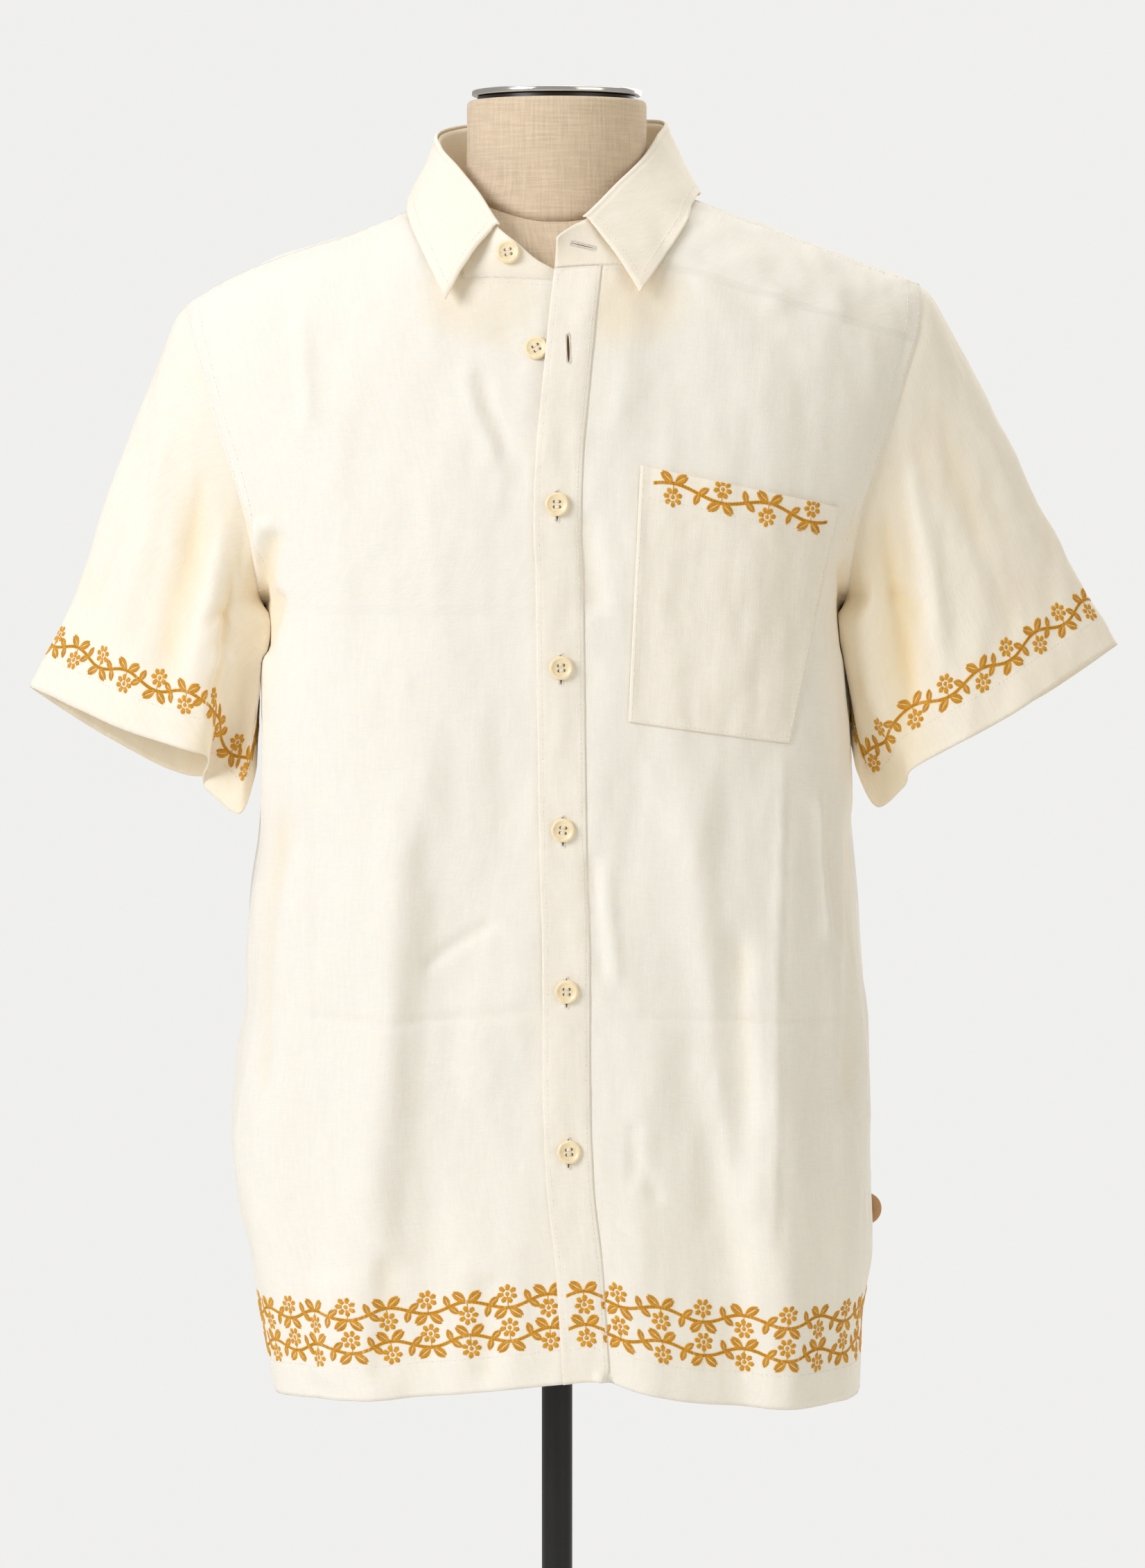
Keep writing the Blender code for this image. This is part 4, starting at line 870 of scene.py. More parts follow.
def front_grid(hand):
    """Fine outer side of one front, and the fine numbers of its neckline's corner."""
    places = front_places(hand)
    coarse = body_point(places[..., 0], places[..., 1], FRONT)
    corner = NECK_COLUMN[hand]
    row_counts, col_counts = step_counts(coarse[:, -3]), step_counts(coarse[LOWER_STEPS])
    band_row, corner_col = sum(row_counts[:BAND_ROWS]), sum(col_counts[:corner])
    low = refined(places[:BAND_ROWS + 1], row_counts[:BAND_ROWS])
    side = refined(places[:, corner:], row_counts)
    tall = np.full((len(side), places.shape[1], 2), np.nan)
    tall[:len(low)] = low
    tall[:, corner:] = side
    full = refined(tall[:band_row + 1], col_counts, axis=1)
    fine = np.full((len(tall), full.shape[1], 2), np.nan)
    fine[:band_row + 1] = full
    fine[band_row + 1:, corner_col:] = refined(tall[band_row + 1:, corner:],
                                               col_counts[corner:], axis=1)
    fine = reach_side(fine)
    return body_point(fine[..., 0], fine[..., 1], FRONT), band_row, corner_col


def body_relief(grid, side):
    """The panel with its creases and dents pressed in."""
    high = grid[..., 2]
    rows, strength = {FRONT: (FRONT_CREASES, 2.0), BACK: (BACK_CREASES, 1.2)}[side]
    height = strength * crease_height(grid[..., [0, 2]], rows)
    if side == FRONT:       # shallower at the shoulders
        height *= 1 - 0.72 * smooth((high - 1.355) / 0.035)
    height += crinkle(grid)
    # dents stay off the form, which lies close under the cloth at the chest
    deepest = 0.0024 + 0.01 * smooth((1.27 - high) / 0.1)
    return np.where(height < 0, deepest * np.tanh(height / deepest), height)


def crinkle(grid, strength=1.0, seed=0.0):
    """The soft dents, upright ripples and fine crumple of worn-in linen."""
    height = wrinkle_height(grid, 0.055, 0.0022, (1.0, 1.0, 0.5), seed)
    height += wrinkle_height(grid, 0.02, 0.0011, (1.0, 1.0, 0.32), seed + 3.0)
    height += wrinkle_height(grid, 0.01, 0.0004, (1.0, 1.0, 0.5), seed + 9.0)
    return height * strength


def lap_height(grid):
    """How far the wearer's left front is lifted to lie over the right one."""
    inward = grid[..., 0] - along(BAND_EDGE, grid[..., 2])
    parted = OPEN_LIFT * smooth((grid[..., 2] - OPEN_FROM_Z) / 0.06)
    return (LAP_LIFT + parted) * (1 - smooth((inward - LAP_FLAT) / LAP_EASE))


def hem_step(grid, rows_from=0, depth=None, step=0.00035):
    """The double turn of a hem: a strip that stands a little proud of the panel."""
    depth = HEM_DEPTH if depth is None else depth
    run = along_edge(grid, 0)
    if rows_from:
        run = run[-1] - run
    inside = smooth((depth + 0.0008 - run) / 0.0012)
    pucker = 0.00022 * np.sin(along_edge(grid, 1) * 2 * np.pi / 0.0085 + 1.3 * np.sin(
        along_edge(grid, 1) * 2 * np.pi / 0.047))
    near = np.exp(-((run - depth) / 0.005) ** 2)
    return step * inside + pucker * near


def eased(grid, relief, *edges, reach=0.009):
    """The relief let down to nothing towards edges that meet another panel's."""
    for edge in edges:
        axis = 0 if edge.endswith("row") else 1
        run = along_edge(grid, axis)
        if edge.startswith("last"):
            run = np.take(run, [-1], axis) - run
        relief = relief * smooth(run / reach)
    return relief


def seam_dip(grid, edge, depth=0.0003, width=0.0022, pucker=0.0003):
    """The cloth drawn in along a seam at one edge of its grid."""
    axis = 0 if edge in ("first row", "last row") else 1
    run = along_edge(grid, axis)
    if edge.startswith("last"):
        run = np.take(run, [-1], axis) - run
    other = along_edge(grid, 1 - axis)
    ripple = pucker * np.sin(other * 2 * np.pi / 0.009) * np.exp(-((run - 0.005) / 0.006) ** 2)
    return ripple - depth * np.exp(-(run / width) ** 2)


def painted_fold_shade_share(name):
    """How much painted warm shade a place of a panel takes: more the deeper its relief sinks, and
    more by place on the sleeves' inner side, near the armpits and under the collar's points.
    """
    grid, height = GRIDS[name], GRIDS[name + " height"]
    if name.startswith("sleeve"):
        # painted warm shade on the sleeve's inner side, towards the body and below the shoulder
        inner = smooth((0.262 - np.abs(grid[..., 0])) / 0.055) * smooth(
            (1.33 - grid[..., 2]) / 0.12)
        return np.clip(-height / 0.011 + 0.38 * inner, 0, 1)
    # painted warm shade on the front near the armpits and under the collar's points
    arm = smooth((np.abs(grid[..., 0]) - 0.15) / 0.045) * smooth(
        (0.07 - np.abs(grid[..., 2] - 1.215)) / 0.05)
    collar = smooth((0.06 - np.hypot(np.abs(grid[..., 0]) - 0.045,
                                      (grid[..., 2] - 1.385) * 1.4)) / 0.045)
    front = grid[..., 1] < 0.0
    return np.clip(-(height + 0.0012) / 0.016 + front * (0.42 * arm + 0.4 * collar), 0, 1)


def make_fronts():
    """Works out both fronts, the left one lapped over the right, with their relief."""
    for hand, name in ((-1, "front_right"), (1, "front_left")):
        grid, band_row, corner_col = front_grid(hand)
        if hand < 0:
            grid = grid[:, ::-1]
        side = "first col" if hand < 0 else "last col"
        relief = body_relief(grid, FRONT) + seam_dip(grid, side) + seam_dip(grid, "last row")
        relief = eased(grid, relief, side, "last row") + hem_step(grid)
        GRIDS[name] = lifted(grid, relief + (lap_height(grid) if hand > 0 else 0))
        GRIDS[name + " height"] = relief
        GRIDS[name + " corner"] = (band_row, corner_col)


def back_seam_u(hand):
    """Length up the armhole's edge at which it meets the yoke's back seam."""
    u = 0.5 * ARCH_LENGTH
    for _ in range(6):
        u = u_at(armhole_x(hand, u), YOKE_BACK_Z)
    return u


def back_columns():
    """The columns that the back and the yoke share, as places across from -1 to 1."""
    spread = side_spread(BACK_SPREAD)
    return np.array([-share for share in reversed(spread[1:])] + spread)


def make_yoke():
    """The yoke from one armhole to the other, its rows from the front seam over to the back."""
    shares = back_columns()
    middle = len(shares) // 2
    places = np.zeros((len(YOKE_SHARES), len(shares), 2))
    for i, down in enumerate(YOKE_SHARES):
        for j, share in enumerate(shares):
            hand = -1 if share < 0 else 1
            foot_x = share * abs(armhole_x(hand, back_seam_u(hand)))
            foot_past = ARCH_LENGTH - u_at(foot_x, YOKE_BACK_Z)
            outward = abs(j - middle)
            if outward >= YOKE_NECK_STEPS:
                part = (outward - YOKE_NECK_STEPS) / (middle - YOKE_NECK_STEPS)
                neck_x = BACK_NECK[0][1]
                x = hand * (neck_x + (abs(armhole_x(hand, SEAM_U)) - neck_x) * part)
                past = -YOKE_FORWARD
            else:
                part = 1 - outward / YOKE_NECK_STEPS
                x, past = hand * along(BACK_NECK, part, 1), along(BACK_NECK, part, 2)
            place = past + (foot_past - past) * down
            across = x + (foot_x - x) * down
            if outward == middle:
                across = armhole_x(hand, ARCH_LENGTH - abs(place))
            places[i, j] = across, place
    coarse = yoke_point(places[..., 0], places[..., 1])
    row_counts = step_counts(coarse[:, 4])
    col_counts = step_counts(coarse[-1])
    neck_from = middle - YOKE_NECK_STEPS
    left = refined(places[:, :neck_from + 1], col_counts[:neck_from], axis=1)
    mid = refined(places[:, neck_from:neck_from + 2 * YOKE_NECK_STEPS + 1],
                  col_counts[neck_from:neck_from + 2 * YOKE_NECK_STEPS], axis=1)
    right = refined(places[:, -neck_from - 1:], col_counts[-neck_from:], axis=1)
    across = np.concatenate([left[:, :-1], mid, right[:, 1:]], axis=1)
    fine = refined(across, row_counts)
    grid = yoke_point(fine[..., 0], fine[..., 1])
    ahead = smooth((along(RIDGE_Y, np.abs(grid[..., 0])) - grid[..., 1]) / 0.02)
    height = crinkle(grid) + ahead * crease_height(grid[..., [0, 2]], FRONT_CREASES)
    for edge in ("first row", "last row", "first col", "last col"):
        height += seam_dip(grid, edge)
    height = eased(grid, height, "first row", "last row")
    GRIDS["yoke"] = lifted(grid, height)
    GRIDS["yoke height"] = height
    first = sum(col_counts[:neck_from])
    GRIDS["yoke neck"] = (first, first + sum(col_counts[neck_from:neck_from
                                                        + 2 * YOKE_NECK_STEPS]))


def make_back():
    """The back: rows up from the hem to the yoke, columns from one side to the other."""
    shares = back_columns()
    places = []
    for level in np.linspace(0, 1, LOWER_STEPS + 1):
        hand = np.where(shares < 0, -1, 1)
        u = hem_u(0.19 * shares, BACK) * (1 - level)
        places.append(np.stack([shares * half_width(hand, ARMPIT_Z + u), u], -1))
    for level in BACK_SHARES[1:]:
        seam = np.where(shares < 0, back_seam_u(-1), back_seam_u(1))
        hand = np.where(shares < 0, -1, 1)
        top_u = u_at(shares * np.abs(armhole_x(hand, seam)), YOKE_BACK_Z)
        places.append(np.stack([shares * np.abs(armhole_x(hand, seam * level)),
                                top_u * level], -1))
    places = np.stack(places)
    coarse = body_point(places[..., 0], places[..., 1], BACK)
    row_counts = step_counts(coarse[:, 4], BACK_FINE)
    col_counts = step_counts(coarse[LOWER_STEPS], BACK_FINE)
    fine = reach_side(refined(refined(places, row_counts), col_counts, axis=1))
    grid = body_point(fine[..., 0], fine[..., 1], BACK)[:, ::-1]
    seams = ("first col", "last col", "last row")
    height = body_relief(grid, BACK)
    for edge in seams:
        height += seam_dip(grid, edge)
    height = eased(grid, height, *seams) + hem_step(grid)
    GRIDS["back"] = lifted(grid, height)
    GRIDS["back height"] = height


def armhole_line(hand, inset, depth):
    """Places round the armhole with points just under the panels' edges, from the ridge over
    the front and back up; each lies so far in from the edge and so deep under the cloth."""
    def edge(name, column):
        grid = GRIDS[name]
        points, facing = edge_line(grid, column, inset)
        return points - facing * depth

    front = edge("front_right", "first col") if hand < 0 else edge("front_left", "last col")
    back_edge, yoke_edge = ("last col", "first col") if hand < 0 else ("first col", "last col")
    back, yoke = edge("back", back_edge), edge("yoke", yoke_edge)
    ridge = int(np.argmax(yoke[:, 2]))
    front, back = (rows[int(np.argmin(np.abs(rows[:, 2] - ARMPIT_Z))):] for rows in (front, back))
    places, lines = [], []
    for line, start in ((np.concatenate([yoke[ridge::-1], front[::-1]]), 0.0),
                        (np.concatenate([back, yoke[:ridge - 1:-1]]), 0.5)):
        run = run_along(line)
        places.append(start + 0.5 * run / run[-1])
        lines.append(line)
    return np.concatenate(places), np.concatenate(lines)


def make_sleeve(hand, name, under):
    """One sleeve: rows from the armhole to the hem, columns round it."""
    hem = SLEEVE_HEM_RIGHT if hand < 0 else SLEEVE_HEM_LEFT
    creases = SLEEVE_CREASES_RIGHT if hand < 0 else SLEEVE_CREASES_LEFT
    place = np.arange(0, 1, 1 / SLEEVE_COLUMNS)
    starts = []
    for inset, depth in ((0.0045, THIN_WALL + 0.0008), (0.0003, THIN_WALL + 0.0002)):
        known, line = armhole_line(hand, inset, depth)
        starts.append(np.stack([np.interp(place, known, line[:, k]) for k in range(3)], -1))
    start = starts[1]
    end = along_loop(hem, place)
    share = np.concatenate([np.linspace(0, 0.1, 6)[:-1],
                            np.linspace(0.1, 1, SLEEVE_ROWS)])[:, None]
    grid = start + (end - start) * share[..., None]
    crown = np.maximum(np.cos(2 * np.pi * place), 0)
    stand_off = along(SLEEVE_CROWN, share) * crown
    grid += stand_off[..., None] * np.array([hand * 0.87, 0, 0.49])
    # under the arm the sleeve stands off the body, and its inner front is laid against it
    below = smooth(1 - np.abs(place - 0.5) / 0.24)
    grid[..., 0] += hand * UNDERARM_GAP * below * (1 - share) * np.minimum(share * 20, 1)
    inner_front = smooth(1 - np.abs(place - 0.395) / 0.095) * (1 - smooth((share - 0.6) / 0.35))
    reach = ARMPIT_Z + UNDERARM_REACH - grid[..., 2]
    grid[..., 0] -= hand * INNER_FRONT_DRAWN * inner_front * smooth(reach / 0.02)
    low = (reach > 0) & (share > 0)
    centres = grid * np.array([0.0, 1.0, 1.0])
    cleared = kept_clear(grid, under, centres,
                         SLEEVE_CLEAR * np.minimum(3 * share, 1) * np.ones_like(grid[..., 0]))
    grid = np.where(low[..., None], cleared, grid)
    grid = np.concatenate([starts[:1], grid])
    share = np.concatenate([[[0.0]], share])
    if hand < 0:
        grid = grid[:, ::-1]
        place = place[::-1]
    height = marked(place, share, SLEEVE_SIZE, creases)
    height += crinkle(grid, 1.1, seed=20.0 + hand)
    tight = smooth((np.abs(place - 0.5) - 0.06) / 0.08)
    height *= np.minimum(share * 5, 1) * (0.25 + 0.75 * tight)
    height += hem_step(grid, rows_from=1)
    GRIDS[name] = lifted(grid, height, around=True)
    GRIDS[name + " height"] = height + np.zeros(grid.shape[:2])


def neck_points():
    """The neckline's points, from the right front's edge round to the left front's."""
    right, left, yoke = GRIDS["front_right"][:, ::-1], GRIDS["front_left"], GRIDS["yoke"]
    row, col = GRIDS["front_right corner"]
    line = [right[row, :col], right[row:-1, col]]
    first, last = GRIDS["yoke neck"]
    line.append(yoke[0, first:last + 1])
    row, col = GRIDS["front_left corner"]
    line += [left[row:-1, col][::-1], left[row, :col][::-1]]
    return np.concatenate(line)


def on_line(line, place):
    """Points at shares of the length of a line of points."""
    run = run_along(line)
    return np.stack([np.interp(np.asarray(place) * run[-1], run, line[:, k])
                     for k in range(3)], -1)


def outward_at(place):
    """Level direction out of the collar at places round it."""
    way = along_path(STAND_TOP, np.minimum(place + 0.01, 1)) - along_path(
        STAND_TOP, np.maximum(place - 0.01, 0))
    way[..., 2] = 0
    return unit(np.cross(np.array([0.0, 0, 1]), way))


def make_stand():
    """The collar's stand: rows up from the neckline, columns from the left end to the right."""
    places = np.linspace(0, 1, STAND_COLUMNS)
    share_along = STAND_START + (1 - STAND_START) * along(STAND_TOP, places, 4)
    foot = on_line(neck_points(), share_along)
    inward = unit(np.stack([-foot[:, 0], NECK_CENTRE_Y - foot[:, 1], 0 * foot[:, 0]], -1))
    foot = foot - inward * (COLLAR_WALL + 0.0002) - np.array([0.0, 0, 0.0022])
    top = along_path(STAND_TOP, places)
    shares = np.linspace(0, 1, STAND_ROWS)[:, None, None]
    grid = (foot + (top - foot) * shares)[:, ::-1]
    height = wrinkle_height(grid, 0.022, 0.0004, seed=31.0)
    edge = np.minimum(shares[..., 0] * 4, 1)
    run = along_edge(grid, 1)
    ends = np.minimum(run, run[:, -1:] - run)
    round_off = 0.0012 * np.clip(1 - ends / 0.006, 0, 1) ** 2
    GRIDS["collar_stand"] = lifted(grid, height * edge) - np.array([0, 0, 1.0]) * (
        round_off * shares[..., 0])[..., None]


def make_leaf(under):
    """The collar's leaf: over the stand's upper edge and down to its free edge."""
    stand = GRIDS["collar_stand"][:, ::-1]
    start, stop = LEAF_EDGE[0][0], LEAF_EDGE[-1][0]
    columns = np.arange(int(round(start * (STAND_COLUMNS - 1))),
                        int(round(stop * (STAND_COLUMNS - 1))) + 1)
    places = start + (stop - start) * np.linspace(0, 1, len(columns))
    foot, top = stand[0, columns], stand[-1, columns]
    facing = grid_normals(GRIDS["collar_stand"])[-1, ::-1][columns]
    rise = unit(top - foot)
    rows = []
    for angle in np.radians(np.linspace(100, -30, LEAF_CREST_ROWS)):
        out = 0.0006 + LEAF_CREST_RADIUS * math.cos(angle)
        rows.append(top + facing * out + rise * (0.0004 + LEAF_CREST_RADIUS * math.sin(angle)))
    crest = rows[-1]
    edge = along_path(LEAF_EDGE, places)
    for share in np.linspace(0, 1, LEAF_ROWS + 1)[1:]:
        point = crest + (edge - crest) * share
        point += outward_at(places) * (LEAF_BULGE * math.sin(math.pi * share))
        centres = point * np.array([0, 0, 1.0]) - np.array([0, 0, LEAF_CENTRE_DROP])
        rows.append(kept_clear(point, under, centres, COLLAR_WALL + LEAF_CLEAR))
    grid = np.stack(rows)
    share = np.linspace(0, 1, len(grid))[:, None]
    height = marked(places, share, COLLAR_SIZE, COLLAR_CREASES)
    height += wrinkle_height(grid, 0.03, 0.0006, seed=41.0)
    height *= smooth((share - 0.25) / 0.2)
    height += hem_step(grid, rows_from=1, depth=0.0066, step=0.0002)
    GRIDS["collar_leaf"] = lifted(grid, np.maximum(height, -0.0006))


def make_pocket(under):
    """The pocket, laid on the wearer's left front."""
    shape = POCKET_ROWS, POCKET_COLUMNS
    up = np.linspace(0, 1, POCKET_ROWS)[:, None]
    across = np.linspace(0, 1, POCKET_COLUMNS)[None, :]
    low, high = (np.array(row[0]) + (np.array(row[1]) - np.array(row[0])) * across[..., None]
                 for row in (POCKET_FOOT, POCKET_TOP))
    spots = low + (high - low) * up[..., None]
    grid = np.array([on_front(under, *spot)[0] for spot in spots.reshape(-1, 2)])
    grid = grid.reshape(*shape, 3)
    height = marked(across, up, POCKET_SIZE, POCKET_CREASES)
    height += wrinkle_height(grid, 0.03, 0.0006, seed=51.0)
    width, length = POCKET_SIZE
    rim = np.minimum(np.minimum(across, 1 - across) * width, up * length)
    free = (1 - up) * length
    height = np.maximum(height, -0.0003) * smooth(rim / 0.008)
    height += 0.001 * smooth(1 - free / 0.03) * smooth(rim / 0.02)
    height += 0.0003 * smooth((0.0045 - rim) / 0.001)
    height += 0.00035 * smooth((0.0205 - free) / 0.001)
    GRIDS["pocket"] = lifted(grid, POCKET_GAP + POCKET_WALL + height)


def make_band():
    """The button band: a folded strip laid on the left front's edge, from the hem to its top."""
    front = GRIDS["front_left"]
    row = GRIDS["front_left corner"][0]
    run = along_edge(front[:row + 1], 1)
    up = along_edge(front[:row + 1, :2], 0)[:, 0]
    rows = np.linspace(0, up[-1] - BAND_SHORT, 240)
    row_at = np.interp(rows, up, np.arange(row + 1))
    columns = np.linspace(0, BAND_WIDTH, 21)
    grid = np.zeros((len(rows), len(columns), 3))
    for i, r in enumerate(row_at):
        lengths = run[int(round(r))]
        col_at = np.interp(columns, lengths, np.arange(len(lengths)))
        grid[i] = on_grid(front, np.full(len(columns), r), col_at)
    edge = np.minimum(columns, BAND_WIDTH - columns)[None, :]
    height = BAND_WALL + 0.0002 + 0.0003 * smooth((edge - 0.003) / 0.0018)
    ripple = 0.0002 * np.sin(rows * 2 * np.pi / 0.0092 + 1.1 * np.sin(rows * 2 * np.pi / 0.053))
    height = height + ripple[:, None] * np.exp(-((edge - 0.0045) / 0.004) ** 2)
    sewn = smooth(1 - (BAND_WIDTH - columns)[None, :] / 0.003)
    height += wrinkle_height(grid, 0.02, 0.0003, seed=61.0)
    height = np.maximum(height, BAND_WALL + 0.0001) - 0.0005 * sewn
    GRIDS["button_band"] = lifted(grid, height)


# Lines on the panels, stitches and embroidery


def edge_line(grid, edge, offset, around=False):
    """Points and normals of a line inside one edge of a grid, at an offset from it."""
    normals = grid_normals(grid, around)
    if edge.endswith("col"):
        grid, normals = grid.transpose(1, 0, 2), normals.transpose(1, 0, 2)
    if edge.startswith("last"):
        grid, normals = grid[::-1], normals[::-1]
    if around:
        grid = np.concatenate([grid, grid[:, :1]], 1)
        normals = np.concatenate([normals, normals[:, :1]], 1)
    up = along_edge(grid, 0)
    cols = np.arange(grid.shape[1])
    rows = np.array([np.interp(offset, up[:, j], np.arange(len(grid))) for j in cols])
    points, facing = on_grid(grid, rows, cols), on_grid(normals, rows, cols)
    there = ~np.isnan(points[:, 0])
    return points[there], facing[there]


def trimmed(line, start, end):
    """A line without its first and last stretch."""
    points, normals = line
    run = run_along(points)
    inside = (run >= start) & (run <= run[-1] - end)
    return points[inside], normals[inside]


def stitches(line, pitch=0.003, length=0.0022, sway=0.0):
    """Starts, ends and normals of a row of stitches on a line."""
    points, normals = line
    run = run_along(points)
    begins = np.arange(0.5 * pitch, run[-1] - length, pitch)

    def at(places, rows):
        return np.stack([np.interp(places, run, rows[:, k]) for k in range(3)], -1)

    starts, ends = at(begins, points), at(begins + length, points)
    facing = unit(at(begins + 0.5 * length, normals))
    aside = unit(np.cross(facing, ends - starts)) * sway
    return starts - aside, ends + aside, facing


def add_stitches(name, lines, material, width=0.00044, lift=0.00026, **how):
    rows = [stitches(line, **how) for line in lines if len(line[0]) > 2]
    return add_threads(name, *(np.concatenate(part) for part in zip(*rows)), material, width, lift)


def chart(grid, edge="first row", around=False):
    """Places things on a panel: along its hem, up from it and out of the cloth."""
    normals = grid_normals(grid, around)
    if edge == "last row":
        grid, normals = grid[::-1], normals[::-1]
    if around:
        grid = np.concatenate([grid, grid[:, :1]], 1)
        normals = np.concatenate([normals, normals[:, :1]], 1)
    run, up = along_edge(grid[:1], 1)[0], along_edge(grid, 0)

    def spots(along_hem, above):
        col = np.interp(along_hem, run, np.arange(len(run)))
        low = np.clip(col.astype(int), 0, len(run) - 2)
        part = col - low
        row = np.empty_like(col)
        for n, (j, share) in enumerate(zip(low, part)):
            lengths = up[:60, j] * (1 - share) + up[:60, j + 1] * share
            row[n] = np.interp(above[n], lengths, np.arange(len(lengths)))
        return on_grid(grid, row, col), unit(on_grid(normals, row, col))

    return spots, run[-1]


def leaf_threads(root, heading, length, width):
    """Satin threads of a leaf, from its midrib to either edge, as pairs of places."""
    along_way = np.array([math.cos(heading), math.sin(heading)])
    aside = np.array([-along_way[1], along_way[0]])
    rows = []
    for side in (-1, 1):
        for share in np.arange(0.04, 0.97, 0.00072 / length):
            reach = 0.5 * width * math.sin(math.pi * min(share, 1)) ** 0.75
            start = root + along_way * length * max(share - 0.14, 0)
            end = root + along_way * length * share + aside * side * reach
            rows.append((start, end, 0.00082))
    return rows


def daisy_threads(centre, radius, petals, turn):
    """Threads of a small daisy: narrow petals about a knotted middle."""
    rows = []
    for k in range(petals):
        angle = turn + 2 * math.pi * k / petals
        way = np.array([math.cos(angle), math.sin(angle)])
        aside = np.array([-way[1], way[0]])
        for step in (-1.0, -0.5, 0.0, 0.5, 1.0):
            reach = radius * (1 - 0.16 * step * step)
            start = centre + way * radius * 0.3 + aside * step * radius * 0.08
            end = centre + way * reach + aside * step * radius * 0.21
            rows.append((start, end, 0.00085))
    for k in range(5):
        angle = turn + math.pi * k / 5
        way = np.array([math.cos(angle), math.sin(angle)]) * radius * 0.24
        rows.append((centre - way, centre + way, 0.00085))
    return rows


def garland_threads(length, base, period, sway, mirror=False):
    """Threads of a running border: a waved stem, leaf pairs and a daisy in each wave."""
    count = max(1, int(round(length / period)))
    period = length / count
    flip = -1.0 if mirror else 1.0

    def stem(s):
        return base + flip * sway * math.sin(2 * math.pi * s / period)

    rows = []
    step = 0.0019
    for s in np.arange(0.0006, length - 0.003, step):
        for aside in (-0.00075, 0.0, 0.00075):
            rows.append((np.array([s, stem(s) + aside]),
                         np.array([s + 1.35 * step, stem(s + 1.35 * step) + aside]), 0.00075))
    for n in range(count):
        for quarter in (0.25, 0.75):
            s = (n + quarter) * period
            out = flip * (1 if quarter < 0.5 else -1)
            centre = np.array([s, stem(s) - out * 0.0086])
            rows.append((np.array([s, stem(s)]), centre, 0.0007))
            rows += daisy_threads(centre, 0.0066, 7, 0.3 + n + quarter)
            for lean in (-0.95, 0.95):
                root = np.array([s + lean * 0.0012, stem(s) + out * 0.0006])
                heading = math.atan2(out * 0.72, lean)
                rows += leaf_threads(root, heading, 0.01, 0.0062)
        for quarter in (0.0, 0.5):
            s = (n + quarter) * period + 0.0008
            slope = flip * (1 if quarter == 0 else -1)
            if 0.004 < s < length - 0.004:
                for side in (-1, 1):
                    root = np.array([s, stem(s)])
                    heading = math.atan2(side * 0.85 + 0.3 * slope, 0.55 * side * -slope + 0.2)
                    rows += leaf_threads(root, heading, 0.0078, 0.0046)
    return rows


def add_embroidery(name, where, borders, material, lift=0.00042):
    """Embroidered borders on a panel; each is its place up from the hem, and its phase."""
    spots, length = where
    rows = []
    for base, mirror, start, end in borders:
        for a, b, width in garland_threads(length - start - end, base, 0.05, 0.003, mirror):
            rows.append((a + np.array([start, 0]), b + np.array([start, 0]), width))
    a, b, width = (np.array(part) for part in zip(*rows))
    inside = ((a[:, 0] > start + 0.001) & (b[:, 0] > start + 0.001)
              & (a[:, 0] < length - end - 0.001) & (b[:, 0] < length - end - 0.001))
    a, b, width = a[inside], b[inside], width[inside]
    starts, facing = spots(a[:, 0], a[:, 1])
    ends, facing_end = spots(b[:, 0], b[:, 1])
    return add_threads(name, starts, ends, unit(facing + facing_end), material, width, lift)


# The pieces, from their grids


def add_cloth(name, finish, wall, shade=None):
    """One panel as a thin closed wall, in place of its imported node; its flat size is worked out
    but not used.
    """
    grid, around = GRIDS[name], name.startswith("sleeve")
    # painted warm shade from the panel's relief and place, unless a share is given
    if shade is None and name + " height" in GRIDS:
        shade = painted_fold_shade_share(name)
    piece = add_wall(name + ".cloth", grid, finish_of(finish), wall, around=around, shade=shade)
    if around:
        grid = np.concatenate([grid, grid[:, :1]], 1)
    flat = float(along_edge(grid, 1)[:, -1].max()), float(along_edge(grid, 0)[-1].max())
    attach(piece, "root")
    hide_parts(name)
    PIECES[name] = piece


def carried(piece, node=None):
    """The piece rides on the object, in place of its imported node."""
    if node:
        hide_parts(node)
    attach(piece, "root")


def form_grid(side):
    """One side of the form's torso: rows up to the ridge, columns across."""
    rows = np.concatenate([np.linspace(FORM_FOOT_Z - ARMPIT_Z, 0, 70),
                           np.linspace(0, ARCH_LENGTH, 60)[1:]])
    turn = np.linspace(-0.5, 0.5, 73) * np.pi
    shares = np.sign(np.sin(turn)) * superellipse(np.abs(turn), SECTION_POWER)[0]
    u, share = rows[:, None], shares[None, :]
    inset = along(FORM_INSET, u)
    hand = np.where(share < 0, -1, 1)
    low = share * (half_width(hand, ARMPIT_Z + np.minimum(u, 0)) - inset)
    x = np.where(u <= 0, low, share * along(FORM_PLATE, u))
    return body_point(x, u, side, inset, folded=False)


